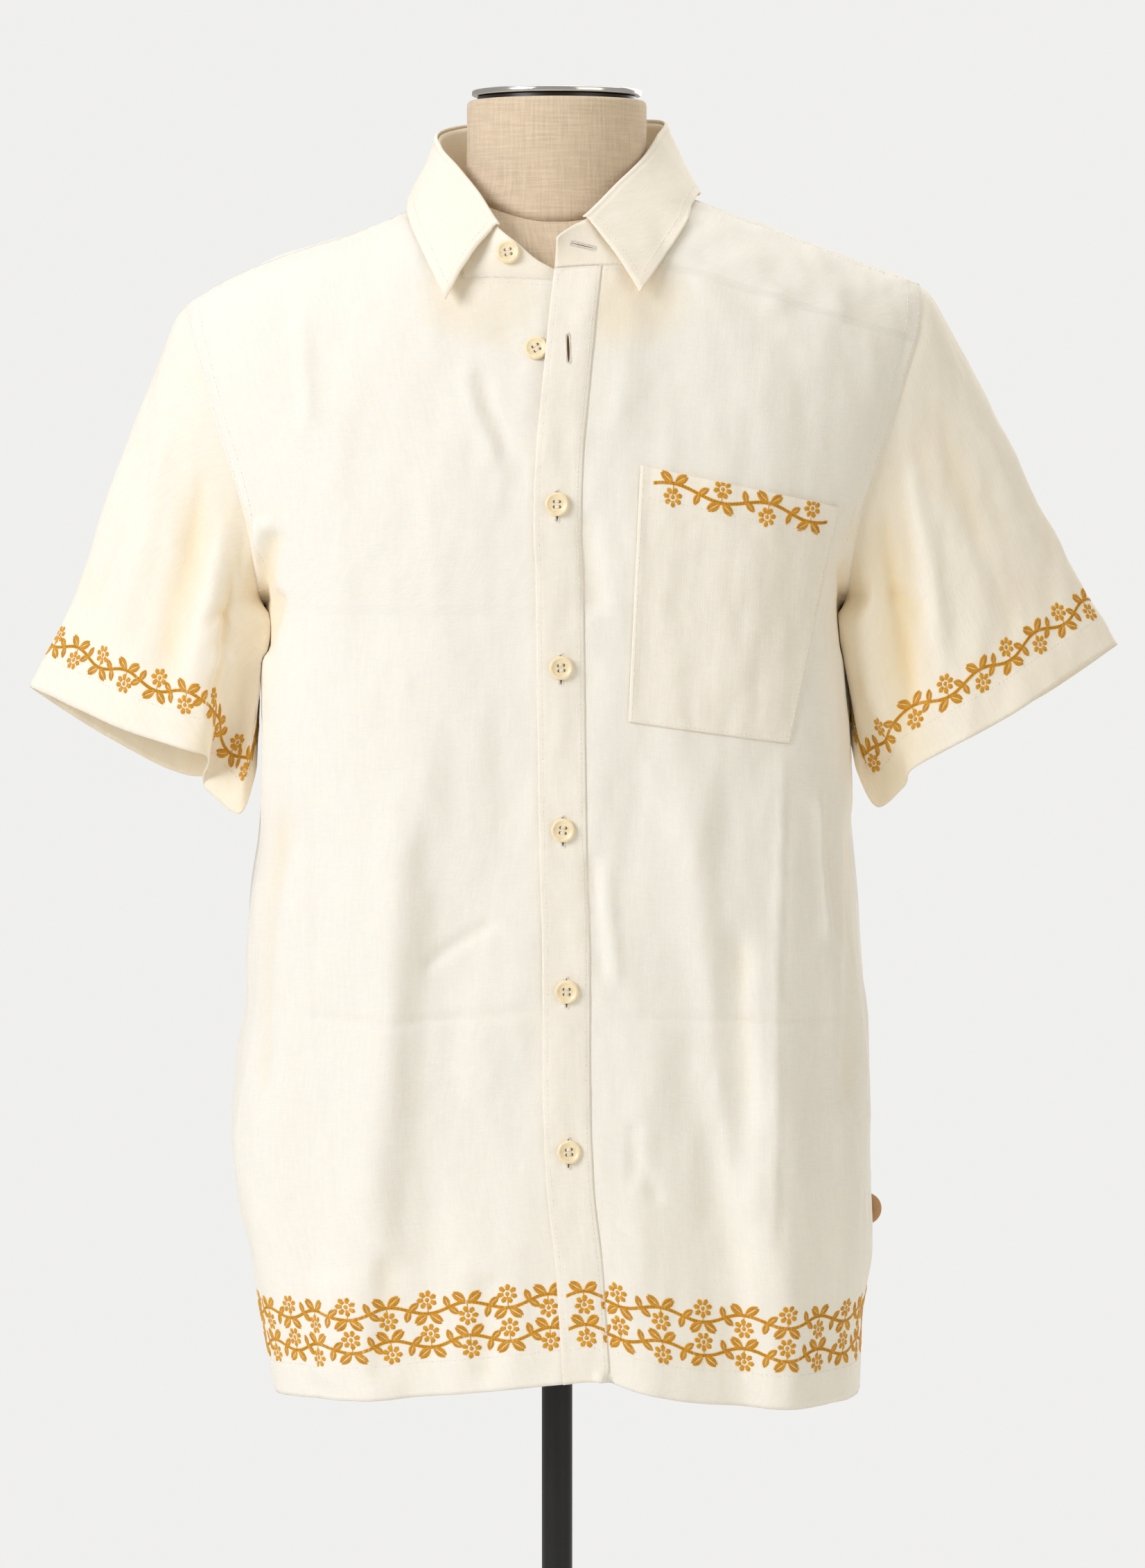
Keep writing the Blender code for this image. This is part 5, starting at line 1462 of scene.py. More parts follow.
def make_form_torso(material):
    """The form's torso: both sides in one closed body."""
    front, back = form_grid(FRONT), form_grid(BACK)
    rows, cols = front.shape[:2]
    behind = rows * cols
    index = np.arange(behind).reshape(rows, cols)
    cells = np.stack([index[:-1, :-1], index[:-1, 1:], index[1:, 1:], index[1:, :-1]], -1)
    cells = cells.reshape(-1, 4)
    faces = cells.tolist() + (cells[:, ::-1] + behind).tolist()
    for column, turned in ((0, False), (cols - 1, True)):
        for low, high in zip(index[:-1, column], index[1:, column]):
            face = (low, high, behind + high, behind + low)
            faces.append(face if not turned else face[::-1])
    for column in range(cols - 1):
        low, after = index[0, column], index[0, column + 1]
        faces.append((low, behind + low, behind + after, after))
        low, after = index[-1, column], index[-1, column + 1]
        faces.append((low, after, behind + after, behind + low))
    places = np.concatenate([np.stack([along_edge(g, 1), along_edge(g, 0)], -1).reshape(-1, 2)
                             for g in (front, back)])
    piece = add_object("form_torso.linen", np.concatenate([front.reshape(-1, 3),
                                                           back.reshape(-1, 3)]),
                       faces, material, places=places)
    tidy_mesh(piece)
    return piece


def tidy_mesh(piece, distance=0.00002):
    """Joins points that lie on each other, and turns every face outwards."""
    work = bmesh.new()
    work.from_mesh(piece.data)
    bmesh.ops.remove_doubles(work, verts=work.verts, dist=distance)
    bmesh.ops.dissolve_degenerate(work, dist=distance, edges=work.edges)
    bmesh.ops.recalc_face_normals(work, faces=work.faces)
    work.to_mesh(piece.data)
    work.free()


def make_form_neck(material, torso_tree):
    """The neck of the form, its foot laid on the torso."""
    sides = 120
    angles = 2 * np.pi * np.arange(sides) / sides
    rings = []
    for share in (0.0, 0.5, 0.82, 1.0):
        ring = []
        for angle in angles:
            spot = Vector((NECK_FLARE * NECK_HALF_WIDTH * share * math.cos(angle),
                           NECK_CENTRE_Y + NECK_FLARE * NECK_HALF_DEPTH * share
                           * math.sin(angle), 2))
            hit = torso_tree.ray_cast(spot, Vector((0, 0, -1)))[0]
            ring.append((hit.x, hit.y, hit.z - (0.001 if share < 1 else 0.0)))
        rings.append(np.array(ring))
    foot = rings[-1][:, 2]
    levels = ((0.08, 1.075), (0.16, 1.05), (0.25, 1.02), (0.4, 1.004), (0.6, 1.0), (0.8, 1.0),
              (0.92, 1.0), (0.96, 0.998), (0.985, 0.99), (1.0, 0.97))
    for level, flare in levels:
        rings.append(np.stack([flare * NECK_HALF_WIDTH * np.cos(angles),
                               NECK_CENTRE_Y + flare * NECK_HALF_DEPTH * np.sin(angles),
                               foot + (NECK_TOP_Z - foot) * level], -1))
    points = np.concatenate(rings)
    faces = ring_faces(len(rings), sides)
    faces.append(tuple(range((len(rings) - 1) * sides, len(rings) * sides)))
    around = np.tile(angles * NECK_HALF_WIDTH, len(rings))
    piece = add_object("form_neck.linen", points, faces, material,
                       places=np.stack([around, points[:, 2]], -1))
    tidy_mesh(piece)
    return piece


def button_mesh(material):
    """A round button with a raised rim and four holes through its dished face."""
    radius, thick = BUTTON_RADIUS, BUTTON_THICKNESS
    profile = [(out * radius, up * thick) for out, up in BUTTON_PROFILE]
    disc = add_turned("button pattern", profile, (0, 0, 0), (0, 0, 1), material, sides=56)
    drills = []
    for x in (-1, 1):
        for y in (-1, 1):
            rows = [(0.0009, -0.001), (0.0009, 0.0012), (0.00105, 0.002), (0.0016, 0.004)]
            drills.append(add_turned("drill", rows, (x * 0.0016, y * 0.0016, 0), (0, 0, 1),
                                     material, sides=20))
    for drill in drills:
        cut = disc.modifiers.new("hole", "BOOLEAN")
        cut.operation, cut.solver, cut.object = "DIFFERENCE", "EXACT", drill
    bpy.context.view_layer.update()
    held = disc.evaluated_get(bpy.context.evaluated_depsgraph_get())
    mesh = bpy.data.meshes.new_from_object(held)
    mesh.name = "button"
    for spare in [disc, *drills]:
        old = spare.data
        bpy.data.objects.remove(spare)
        bpy.data.meshes.remove(old)
    mesh.shade_smooth()
    mesh.set_sharp_from_angle(angle=math.radians(42))
    return mesh


def place_button(name, mesh, tree, spot, turn):
    """A button standing on a wall, turned a little about its own axis."""
    point, axis = on_front(tree, *spot)
    piece = bpy.data.objects.new(name + ".resin", mesh)
    bpy.context.scene.collection.objects.link(piece)
    piece.matrix_world = (Matrix.Translation(point + axis * LAY_GAP)
                          @ axis.to_track_quat("Z", "Y").to_matrix().to_4x4()
                          @ Matrix.Rotation(turn, 4, "Z"))
    carried(piece, name)
    return piece


def button_threads(pieces, material):
    """The threads over each button's holes."""
    starts, ends, normals = [], [], []
    for piece in pieces:
        place = piece.matrix_world
        axis = (place.to_3x3() @ Vector((0, 0, 1)))
        face = 0.67 * BUTTON_THICKNESS
        for side in (-1, 1):
            for step in (-0.00042, 0.0, 0.00042):
                starts.append(place @ Vector((-0.0017, side * 0.0016 + step, face)))
                ends.append(place @ Vector((0.0017, side * 0.0016 + step, face)))
                normals.append(axis)
    return add_threads("buttons.thread", starts, ends, normals, material, 0.0006, 0.0007)


def buttonhole(tree, x, z, length, heading):
    """Satin threads along both sides of a slot, and its two bars."""
    way = np.array([math.cos(heading), math.sin(heading)])
    aside = np.array([-way[1], way[0]])
    rows = []
    for side in (-1, 1):
        for step in np.arange(-0.5 * length, 0.5 * length, 0.0005):
            middle = np.array([x, z]) + way * step
            rows.append((middle + aside * side * 0.0006, middle + aside * side * 0.0019))
    for end in (-1, 1):
        for step in np.arange(0, 0.0012, 0.0004):
            middle = np.array([x, z]) + way * end * (0.5 * length + step)
            rows.append((middle - aside * 0.0017, middle + aside * 0.0017))
    starts, ends, normals = [], [], []
    for a, b in rows:
        start, normal = on_front(tree, *a)
        end = on_front(tree, *b)[0]
        if start is None or end is None:
            continue
        starts.append(start)
        ends.append(end)
        normals.append(normal)
    return starts, ends, normals


def shade_sliver(tree, x, z, length, heading, reach=0.00075):
    """Corners of a dark sliver laid in the narrow opening inside a buttonhole: painted shade of
    the opening.
    """
    way = np.array([math.cos(heading), math.sin(heading)])
    aside = np.array([-way[1], way[0]])
    rows = []
    for step in np.linspace(-0.5 * length, 0.5 * length, 9):
        half = reach * math.sqrt(max(1 - (2 * step / length) ** 2, 0.05))
        line = []
        for side in (-1, 1):
            point, normal = on_front(tree, *(np.array([x, z]) + way * step + aside * side * half))
            line.append(point + normal * 0.00012)
        rows.append(line)
    return np.array(rows)


def shade_solid(slots):
    """Points and faces of the shallow dark slivers that paint the shade inside the buttonholes'
    openings.
    """
    points, faces = [], []
    for rows in slots:
        start, count = len(points), len(rows) * 2
        points += [tuple(p) for p in rows.reshape(-1, 3)]
        points += [(x, y + 0.0006, z) for x, y, z in rows.reshape(-1, 3)]
        for n in range(len(rows) - 1):
            a, b, c, d = (start + 2 * n + k for k in (0, 1, 3, 2))
            faces += [(a, b, c, d), (a + count, d + count, c + count, b + count),
                      (a, d, d + count, a + count), (b, b + count, c + count, c)]
        last = start + count - 2
        faces += [(start, start + count, start + count + 1, start + 1),
                  (last, last + 1, last + count + 1, last + count)]
    return points, faces


# Finishes


def paint(red, green, blue):
    """A colour given as on a screen, for Blender's linear sockets."""
    return tuple(c / 12.92 if c <= 0.04045 else ((c + 0.055) / 1.055) ** 2.4
                 for c in (red / 255, green / 255, blue / 255))


def add_node(tree, kind, inputs=None, **settings):
    """One shader node with its settings, its inputs linked or set."""
    made = tree.nodes.new(kind)
    for name, value in settings.items():
        setattr(made, name, value)
    for socket, value in (inputs or {}).items():
        if isinstance(value, bpy.types.NodeSocket):
            tree.links.new(value, made.inputs[socket])
        else:
            made.inputs[socket].default_value = value
    return made


def new_finish(name, colour, roughness, **sockets):
    """A material with its plain sockets set; returns it with its tree and its shader."""
    material = bpy.data.materials.new(name)
    material.use_nodes = True
    material.diffuse_color = (*colour, 1)
    tree = material.node_tree
    shader = tree.nodes["Principled BSDF"]
    set_sockets(shader, {"base_color": (*colour, 1), "roughness": roughness, **sockets})
    return material, tree, shader


def set_sockets(shader, sockets):
    """Plain values for a shader's sockets, by their names in small letters."""
    for socket, value in sockets.items():
        socket = socket.replace("_", " ").title().replace("Ior", "IOR")
        shader.inputs[socket].default_value = value


def bumped(tree, shader, height, strength, distance=0.0002):
    """Small relief on a finish, from a height over its surface."""
    raised = add_node(tree, "ShaderNodeBump", {"Height": height, "Strength": strength,
                                               "Distance": distance})
    tree.links.new(raised.outputs[0], shader.inputs["Normal"])


def clouded(tree, shader, cloud, low, high, darker, colour):
    """The colour made darker by a factor where a cloud of noise is thin."""
    base = mixed(tree, ranged(tree, cloud, low, high), tuple(c * darker for c in colour), colour)
    tree.links.new(base, shader.inputs["Base Color"])


def object_place(tree):
    return add_node(tree, "ShaderNodeTexCoord").outputs["Object"]


def stretched(tree, source, scale):
    return add_node(tree, "ShaderNodeVectorMath", {0: source, 1: scale},
                    operation="MULTIPLY").outputs[0]


def noise_at(tree, place, scale, detail=2.0, roughness=0.5):
    return add_node(tree, "ShaderNodeTexNoise", {"Vector": place, "Scale": scale,
                                                 "Detail": detail, "Roughness": roughness}
                    ).outputs["Fac"]


def added(tree, *parts):
    """Heights or shares added up, each times its own factor."""
    total = None
    for source, factor in parts:
        total = add_node(tree, "ShaderNodeMath",
                         {0: source, 1: factor, 2: total if total is not None else 0.0},
                         operation="MULTIPLY_ADD").outputs[0]
    return total


def ranged(tree, source, low, high, to_low=0.0, to_high=1.0):
    return add_node(tree, "ShaderNodeMapRange",
                    {"Value": source, "From Min": low, "From Max": high,
                     "To Min": to_low, "To Max": to_high}).outputs[0]


def mixed(tree, share, first, second, blend="MIX"):
    """Two colours mixed by a share; each is a socket or a colour."""
    made = tree.nodes.new("ShaderNodeMix")
    made.data_type, made.blend_type = "RGBA", blend
    for socket, value in ((0, share), (6, first), (7, second)):
        if isinstance(value, bpy.types.NodeSocket):
            tree.links.new(value, made.inputs[socket])
        elif socket:
            made.inputs[socket].default_value = (*value[:3], 1)
        else:
            made.inputs[socket].default_value = value
    return made.outputs[2]


def woven(name, colour, painted_fold_shade_colour, pitch, slub, bump, tint=0.02):
    """A plain weave that follows the cloth's own places: threads, slubs and their changes of tone,
    and painted warm shade in the folds.
    """
    material, tree, shader = new_finish(
        name, colour, 0.86, subsurface_weight=0.16, subsurface_radius=(1.0, 0.62, 0.3),
        subsurface_scale=0.004, sheen_weight=0.12, sheen_roughness=0.6, specular_ior_level=0.18)
    place = add_node(tree, "ShaderNodeUVMap", uv_map="cloth").outputs[0]
    stray = add_node(tree, "ShaderNodeTexNoise", {"Vector": place, "Scale": 55.0, "Detail": 1.0})
    bent = add_node(tree, "ShaderNodeVectorMath",
                    {0: place, 1: stretched(tree, stray.outputs["Color"],
                                            (0.0016, 0.0016, 0.0))}, operation="ADD").outputs[0]
    warp, weft = (add_node(tree, "ShaderNodeTexWave",
                           {"Vector": bent, "Scale": 1 / pitch / 3.1416 * 0.5, "Distortion": 0.8,
                            "Detail": 1.0, "Detail Scale": 2.0}, bands_direction=way).outputs[1]
                  for way in "XY")
    across, down = (noise_at(tree, stretched(tree, bent, scale), 1.0, 2.0, 0.6)
                    for scale in ((90.0, 1100.0, 1.0), (1100.0, 90.0, 1.0)))
    cloud = noise_at(tree, place, 38.0, 3.0, 0.6)
    streak = noise_at(tree, stretched(tree, bent, (420.0, 34.0, 1.0)), 1.0, 3.0, 0.65)
    bumped(tree, shader, added(tree, (streak, 0.8), (warp, 0.25), (weft, 0.25), (across, slub),
                               (down, slub * 0.8)), bump, 0.00035)
    shade = added(tree, (across, 1.6), (down, 1.6), (cloud, 1.0), (streak, 2.0))
    shade = ranged(tree, shade, 2.2, 4.0, 1 - 2.4 * tint, 1 + 1.2 * tint)
    tone = add_node(tree, "ShaderNodeHueSaturation", {"Color": (*colour, 1), "Value": shade})
    # painted shade: the colour is drawn towards the warm fold colour by each point's painted share
    # of fold shade
    recess = add_node(tree, "ShaderNodeAttribute", attribute_name="recess").outputs["Fac"]
    base = mixed(tree, ranged(tree, recess, 0.05, 1.1, 0.0, 0.85), tone.outputs[0], painted_fold_shade_colour)
    tree.links.new(base, shader.inputs["Base Color"])
    return material


def thread_finish(name, colour, sheen=0.3, roughness=0.55):
    """Twisted thread, with its own small changes of shade."""
    material, tree, shader = new_finish(name, colour, roughness, sheen_weight=sheen)
    place = object_place(tree)
    cloud = noise_at(tree, place, 420.0, 2.0, 0.6)
    tone = add_node(tree, "ShaderNodeHueSaturation",
                    {"Color": (*colour, 1), "Value": ranged(tree, cloud, 0.3, 0.7, 0.88, 1.1)})
    tree.links.new(tone.outputs[0], shader.inputs["Base Color"])
    bumped(tree, shader, noise_at(tree, place, 2600.0, 2.0, 0.6), 0.5)
    return material


def linen_finish(name, colour, dark):
    """Coarse oatmeal linen: thick and thin threads of two tones, both ways."""
    material, tree, shader = new_finish(name, colour, 0.9, sheen_weight=0.15,
                                        specular_ior_level=0.2)
    place = add_node(tree, "ShaderNodeUVMap", uv_map="cloth").outputs[0]
    warp, weft = (noise_at(tree, stretched(tree, place, scale), 1.0, 2.0, 0.6)
                  for scale in ((640.0, 40.0, 1.0), (40.0, 640.0, 1.0)))
    height = added(tree, (warp, 0.5), (weft, 0.5), (noise_at(tree, place, 900.0, 2.0, 0.7), 0.3))
    tree.links.new(mixed(tree, ranged(tree, height, 0.45, 0.85), dark, colour),
                   shader.inputs["Base Color"])
    bumped(tree, shader, height, 0.7, 0.0006)
    return material


def button_finish(name, colour):
    """Pale resin with a faint pearly cloud and a polished rim."""
    material, tree, shader = new_finish(
        name, colour, 0.28, coat_weight=0.25, coat_roughness=0.12, subsurface_weight=0.25,
        subsurface_radius=(1.0, 0.7, 0.4), subsurface_scale=0.001)
    place = object_place(tree)
    cloud = noise_at(tree, place, 190.0, 3.0, 0.55)
    clouded(tree, shader, cloud, 0.35, 0.65, 0.9, colour)
    tree.links.new(ranged(tree, cloud, 0.3, 0.7, 0.24, 0.34), shader.inputs["Roughness"])
    bumped(tree, shader, noise_at(tree, place, 900.0, 2.0, 0.5), 0.06)
    return material


def metal_finish(name, colour, metallic, roughness, spread, scale):
    """Metal or hard paint, whose gloss changes a little over the surface."""
    material, tree, shader = new_finish(name, colour, roughness, metallic=metallic)
    place = object_place(tree)
    cloud = noise_at(tree, place, scale, 4.0, 0.6)
    tree.links.new(ranged(tree, cloud, 0.3, 0.7, roughness - spread, roughness + spread),
                   shader.inputs["Roughness"])
    fine = noise_at(tree, stretched(tree, place, (1.0, 1.0, 0.08)), scale * 24, 2.0, 0.6)
    bumped(tree, shader, fine, 0.05)
    clouded(tree, shader, cloud, 0.35, 0.65, 0.93, colour)
    return material


def leather_finish(name, colour):
    """The tab's smooth tan hide: fine grain and a slightly darker cloud of noise."""
    material, tree, shader = new_finish(name, colour, 0.55)
    place = object_place(tree)
    grain = add_node(tree, "ShaderNodeTexVoronoi", {"Vector": place, "Scale": 1500.0},
                     feature="DISTANCE_TO_EDGE").outputs["Distance"]
    clouded(tree, shader, noise_at(tree, place, 260.0, 3.0, 0.6), 0.3, 0.7, 0.86, colour)
    bumped(tree, shader, grain, 0.25)
    return material


def floor_finish(name, colour):
    """The studio floor, nearly even."""
    material, tree, shader = new_finish(name, colour, 0.8, specular_ior_level=0.1)
    cloud = noise_at(tree, object_place(tree), 3.0, 3.0, 0.5)
    clouded(tree, shader, cloud, 0.3, 0.7, 0.985, colour)
    return material


# Sizes and colours to change


def colour_setting(name, note, default):
    return FloatVectorProperty(name=name, description=note, subtype="COLOR", size=3, min=0,
                               max=1, default=default)


def length_setting(name, note, low, high, default):
    return FloatProperty(name=name, description=note, unit="LENGTH", min=low, max=high,
                         default=default, precision=4)


class ShirtColours(bpy.types.PropertyGroup):
    """Colours of the shirt, of the form and of the stand."""
    body: colour_setting("Body cloth", "Fronts, back and yoke", paint(251, 245, 233))
    trim: colour_setting("Warm cloth", "Sleeves, collar, pocket and button band",
                         paint(255, 246, 230))
    # painted shade: the warm colour laid into the cloth's folds and its inner side, not a colour
    # of the cloth itself
    recess: colour_setting("Painted fold shade", "Light that gathers inside the folds",
                           paint(244, 214, 158))
    thread: colour_setting("Thread", "Topstitching and buttonholes", paint(252, 249, 240))
    border: colour_setting("Border thread", "Embroidered borders", paint(228, 166, 26))
    button: colour_setting("Buttons", "Resin of the buttons", paint(252, 234, 196))
    tab: colour_setting("Side tab", "Round tab in the side seam", paint(196, 152, 106))
    linen: colour_setting("Form linen", "Cover of the dress form", paint(233, 212, 184))
    metal: colour_setting("Plate", "Bright plate on the neck", paint(226, 226, 228))
    stand: colour_setting("Stand", "Pole, socket and base", paint(26, 26, 28))


class ShirtSizes(bpy.types.PropertyGroup):
    """Sizes of the shirt's small work."""
    stitch_pitch: length_setting("Stitch pitch", "From one stitch to the next", 0.0015, 0.008,
                                 0.003)
    stitch_length: length_setting("Stitch length", "Length of each stitch", 0.001, 0.007, 0.0022)
    hem_depth: length_setting("Hem depth", "From the hem up to its stitching", 0.008, 0.05,
                              HEM_DEPTH)
    border_low: length_setting("Lower border", "Its height above the hem", 0.02, 0.2, 0.0335)
    border_high: length_setting("Upper border", "Its height above the hem", 0.02, 0.2, 0.0545)
    sleeve_border: length_setting("Sleeve border", "Its height above the sleeve's hem", 0.02,
                                  0.1, 0.033)
    button_turn: FloatProperty(name="Button turn", description="How far each button is turned",
                               subtype="ANGLE", min=0, max=1.5, default=0.12)
    armhole_rows: IntProperty(name="Rows at the armhole", description="Rows of topstitching",
                              min=1, max=3, default=2)


class ShirtSettings(bpy.types.PropertyGroup):
    """Everything that the panel lists."""
    colours: PointerProperty(type=ShirtColours)
    sizes: PointerProperty(type=ShirtSizes)
    light: FloatProperty(name="Key light", description="Strength of the soft key light",
                         subtype="POWER", min=1, max=2000, default=68)


def settings():
    return bpy.context.scene.shirt


FINISHES = {}


def finish_of(kind):
    """The material of that kind, made once from the panel's colours."""
    if kind not in FINISHES:
        tone = {name: tuple(getattr(settings().colours, name))
                for name in ShirtColours.__annotations__}
        maker, *how = {
            # both cloths take the painted warm fold shade in their folds
            "body": (woven, "body cloth", tone["body"], tone["recess"], 0.00055, 0.9, 0.35),
            "trim": (woven, "warm cloth", tone["trim"], tone["recess"], 0.00055, 1.0, 0.4,
                     0.025),
            "thread": (thread_finish, "topstitching thread", tone["thread"]),
            "border": (thread_finish, "border thread", tone["border"], 0.03, 0.5),
            # painted shade: the dark colour of the slivers inside the buttonholes' openings
            "slot": (thread_finish, "buttonhole shade", paint(96, 62, 32), 0.0, 0.9),
            "button": (button_finish, "button resin", tone["button"]),
            "tab": (leather_finish, "tab hide", tone["tab"]),
            "linen": (linen_finish, "form linen", tone["linen"],
                      tuple(c * 0.72 for c in tone["linen"])),
            "chrome": (metal_finish, "bright plate", tone["metal"], 1.0, 0.16, 0.04, 30.0),
            "black": (metal_finish, "satin black", tone["stand"], 0.15, 0.34, 0.05, 24.0),
            "floor": (floor_finish, "studio floor", paint(246, 246, 244)),
        }[kind]
        FINISHES[kind] = maker(*how)
    return FINISHES[kind]


PIECES = {}


# Operators


class SHIRT_OT_fronts(bpy.types.Operator):
    """Builds both fronts and the button band"""
    bl_idname = "shirt.fronts"
    bl_label = "Fronts and band"

    def execute(self, context):
        make_fronts()
        add_cloth("front_right", "body", THIN_WALL)
        add_cloth("front_left", "body", THIN_WALL)
        make_band()
        add_cloth("button_band", "trim", BAND_WALL)
        return {"FINISHED"}


class SHIRT_OT_back(bpy.types.Operator):
    """Builds the back and the yoke"""
    bl_idname = "shirt.back"
    bl_label = "Back and yoke"

    def execute(self, context):
        make_yoke()
        make_back()
        add_cloth("yoke", "body", THIN_WALL)
        add_cloth("back", "body", THIN_WALL)
        return {"FINISHED"}


class SHIRT_OT_sleeves(bpy.types.Operator):
    """Builds both sleeves round their armholes"""
    bl_idname = "shirt.sleeves"
    bl_label = "Sleeves"

    def execute(self, context):
        for hand, name, front in ((-1, "sleeve_right", "front_right"),
                                  (1, "sleeve_left", "front_left")):
            make_sleeve(hand, name, tree_of(front, "back"))
            add_cloth(name, "trim", THIN_WALL)
        return {"FINISHED"}


class SHIRT_OT_collar(bpy.types.Operator):
    """Builds the collar's stand and its leaf"""
    bl_idname = "shirt.collar"
    bl_label = "Collar"

    def execute(self, context):
        make_stand()
        add_cloth("collar_stand", "trim", COLLAR_WALL)
        make_leaf(tree_of("collar_stand", "front_right", "front_left", "yoke"))
        add_cloth("collar_leaf", "trim", COLLAR_WALL)
        return {"FINISHED"}


class SHIRT_OT_pocket(bpy.types.Operator):
    """Builds the chest pocket"""
    bl_idname = "shirt.pocket"
    bl_label = "Pocket"

    def execute(self, context):
        make_pocket(tree_of("front_left"))
        add_cloth("pocket", "trim", POCKET_WALL,
                  shade=np.zeros(GRIDS["pocket"].shape[:2]))
        return {"FINISHED"}


class SHIRT_OT_buttons(bpy.types.Operator):
    """Builds the buttons, their threads and the buttonholes"""
    bl_idname = "shirt.buttons"
    bl_label = "Buttons and buttonholes"

    def execute(self, context):
        mesh, thread = button_mesh(finish_of("button")), finish_of("thread")
        band, stand = tree_of("button_band"), tree_of("collar_stand")
        turn = settings().sizes.button_turn
        made, holes = [], []
        for number in range(BUTTONS_FASTENED):
            z = BUTTON_TOP_Z - number * BUTTON_PITCH
            x = float(along(BAND_EDGE, z)) + 0.5 * BAND_WIDTH
            made.append(place_button(f"button_{number + 1}", mesh, band, (x, z),
                                     turn * math.sin(2.1 * number)))
            holes.append((band, x, z - 0.001, 0.0185, math.radians(90)))
        made.append(place_button("button_open", mesh, tree_of("front_right"), OPEN_BUTTON, 0.5))
        made.append(place_button("button_neck", mesh, stand, NECK_BUTTON, 0.2))
        carried(button_threads(made, thread))
        holes.append((band, *OPEN_HOLE))
        holes.append((stand, *NECK_HOLE))
        joined = [sum(parts, []) for parts in zip(*(buttonhole(*hole) for hole in holes))]
        carried(add_threads("buttonholes.thread", *joined, thread, 0.00052, 0.0004))
        # dark slivers in the buttonholes' openings, painted shade; narrower in the stand's hole
        slots = [shade_sliver(*hole, 0.00022 if hole is holes[-1] else 0.00075) for hole in holes]
        slot = add_object("buttonholes.slots", *shade_solid(slots), finish_of("slot"))
        tidy_mesh(slot, 0.000001)
        carried(slot)
        return {"FINISHED"}


class SHIRT_OT_stitching(bpy.types.Operator):
    """Sews the topstitching along hems, band, pocket, collar, armholes and yoke"""
    bl_idname = "shirt.stitching"
    bl_label = "Topstitching"

    def execute(self, context):
        sizes = settings().sizes
        hem = sizes.hem_depth
        # grid, edge, how far in from it, what is left out at either end
        seams = {
            "fronts": (("front_right", "first row", hem, 0.002, 0.004),
                       ("front_left", "first row", hem, BAND_WIDTH + 0.001, 0.002),
                       ("front_left", "last row", 0.006, 0.002, 0.002),
                       ("front_right", "last row", 0.006, 0.002, 0.002)),
            "back": (("back", "first row", hem, 0.002, 0.002),
                     ("back", "last row", 0.006, 0.002, 0.002)),
            "armholes": (),
            "band": (("button_band", "first col", 0.0032, 0.001, 0.001),
                     ("button_band", "last col", 0.0032, 0.001, 0.001),
                     ("button_band", "first row", hem, 0, 0)),
            "sleeve_left": (("sleeve_left", "last row", hem, 0, 0),
                            ("sleeve_left", "first row", 0.0022, 0, 0)),
            "sleeve_right": (("sleeve_right", "last row", hem, 0, 0),
                             ("sleeve_right", "first row", 0.0022, 0, 0)),
            "pocket": (("pocket", "first col", 0.002, 0, 0), ("pocket", "last col", 0.002, 0, 0),
                       ("pocket", "first row", 0.002, 0.002, 0.002),
                       ("pocket", "last row", 0.019, 0.002, 0.002)),
            "collar": (("collar_leaf", "last row", 0.0064, 0.0064, 0.0064),
                       ("collar_leaf", "first col", 0.0064, 0.006, 0.0064),
                       ("collar_leaf", "last col", 0.0064, 0.006, 0.0064),
                       ("collar_stand", "first row", 0.0016, 0.001, 0.001)),
        }
        for part, rows in seams.items():
            lines = [trimmed(edge_line(GRIDS[name], edge, offset, name.startswith("sleeve")),
                             start, end) for name, edge, offset, start, end in rows]
            if part == "armholes":
                lines = self.armhole_lines(sizes.armhole_rows)
            carried(add_stitches(part + ".stitches", lines, finish_of("thread"),
                                 pitch=sizes.stitch_pitch, length=sizes.stitch_length))
        return {"FINISHED"}

    def armhole_lines(self, count):
        """Rows round both armholes, above the level at which the arms begin."""
        lines = []
        for name, edge in (("front_left", "last col"), ("front_right", "first col"),
                           ("back", "first col"), ("back", "last col"),
                           ("yoke", "first col"), ("yoke", "last col")):
            for offset in (0.0022, 0.011, 0.0125)[:count]:
                points, facing = edge_line(GRIDS[name], edge, offset)
                high = points[:, 2] > ARMPIT_Z + 0.004
                lines.append((points[high], facing[high]))
        return lines


class SHIRT_OT_borders(bpy.types.Operator):
    """Embroiders the borders above the hems and on the pocket"""
    bl_idname = "shirt.borders"
    bl_label = "Embroidered borders"

    def execute(self, context):
        sizes = settings().sizes
        left, length = chart(GRIDS["front_left"])
        band, _ = chart(GRIDS["button_band"])

        def over_band(along_hem, above):
            on_band = (along_hem < BAND_WIDTH)[:, None]
            inner = np.minimum(along_hem, BAND_WIDTH)
            return tuple(np.where(on_band, first, second) for first, second in zip(
                band(inner, above), left(along_hem, above)))

        # up from the hem, turned over, what is left out at either end
        body = [(base, False, 0.003, 0.003) for base in (sizes.border_low, sizes.border_high)]
        sleeve = [(sizes.sleeve_border, False, 0.0, 0.001)]
        for name, where, borders in (
                ("front_right", chart(GRIDS["front_right"]), body),
                ("front_left", (over_band, length), body),
                ("back", chart(GRIDS["back"]), body),
                ("sleeve_left", chart(GRIDS["sleeve_left"], "last row", True), sleeve),
                ("sleeve_right", chart(GRIDS["sleeve_right"], "last row", True), sleeve),
                ("pocket", chart(GRIDS["pocket"], "last row"), [(0.01, True, 0.006, 0.006)])):
            carried(add_embroidery(name + ".border", where, borders, finish_of("border")))
        return {"FINISHED"}


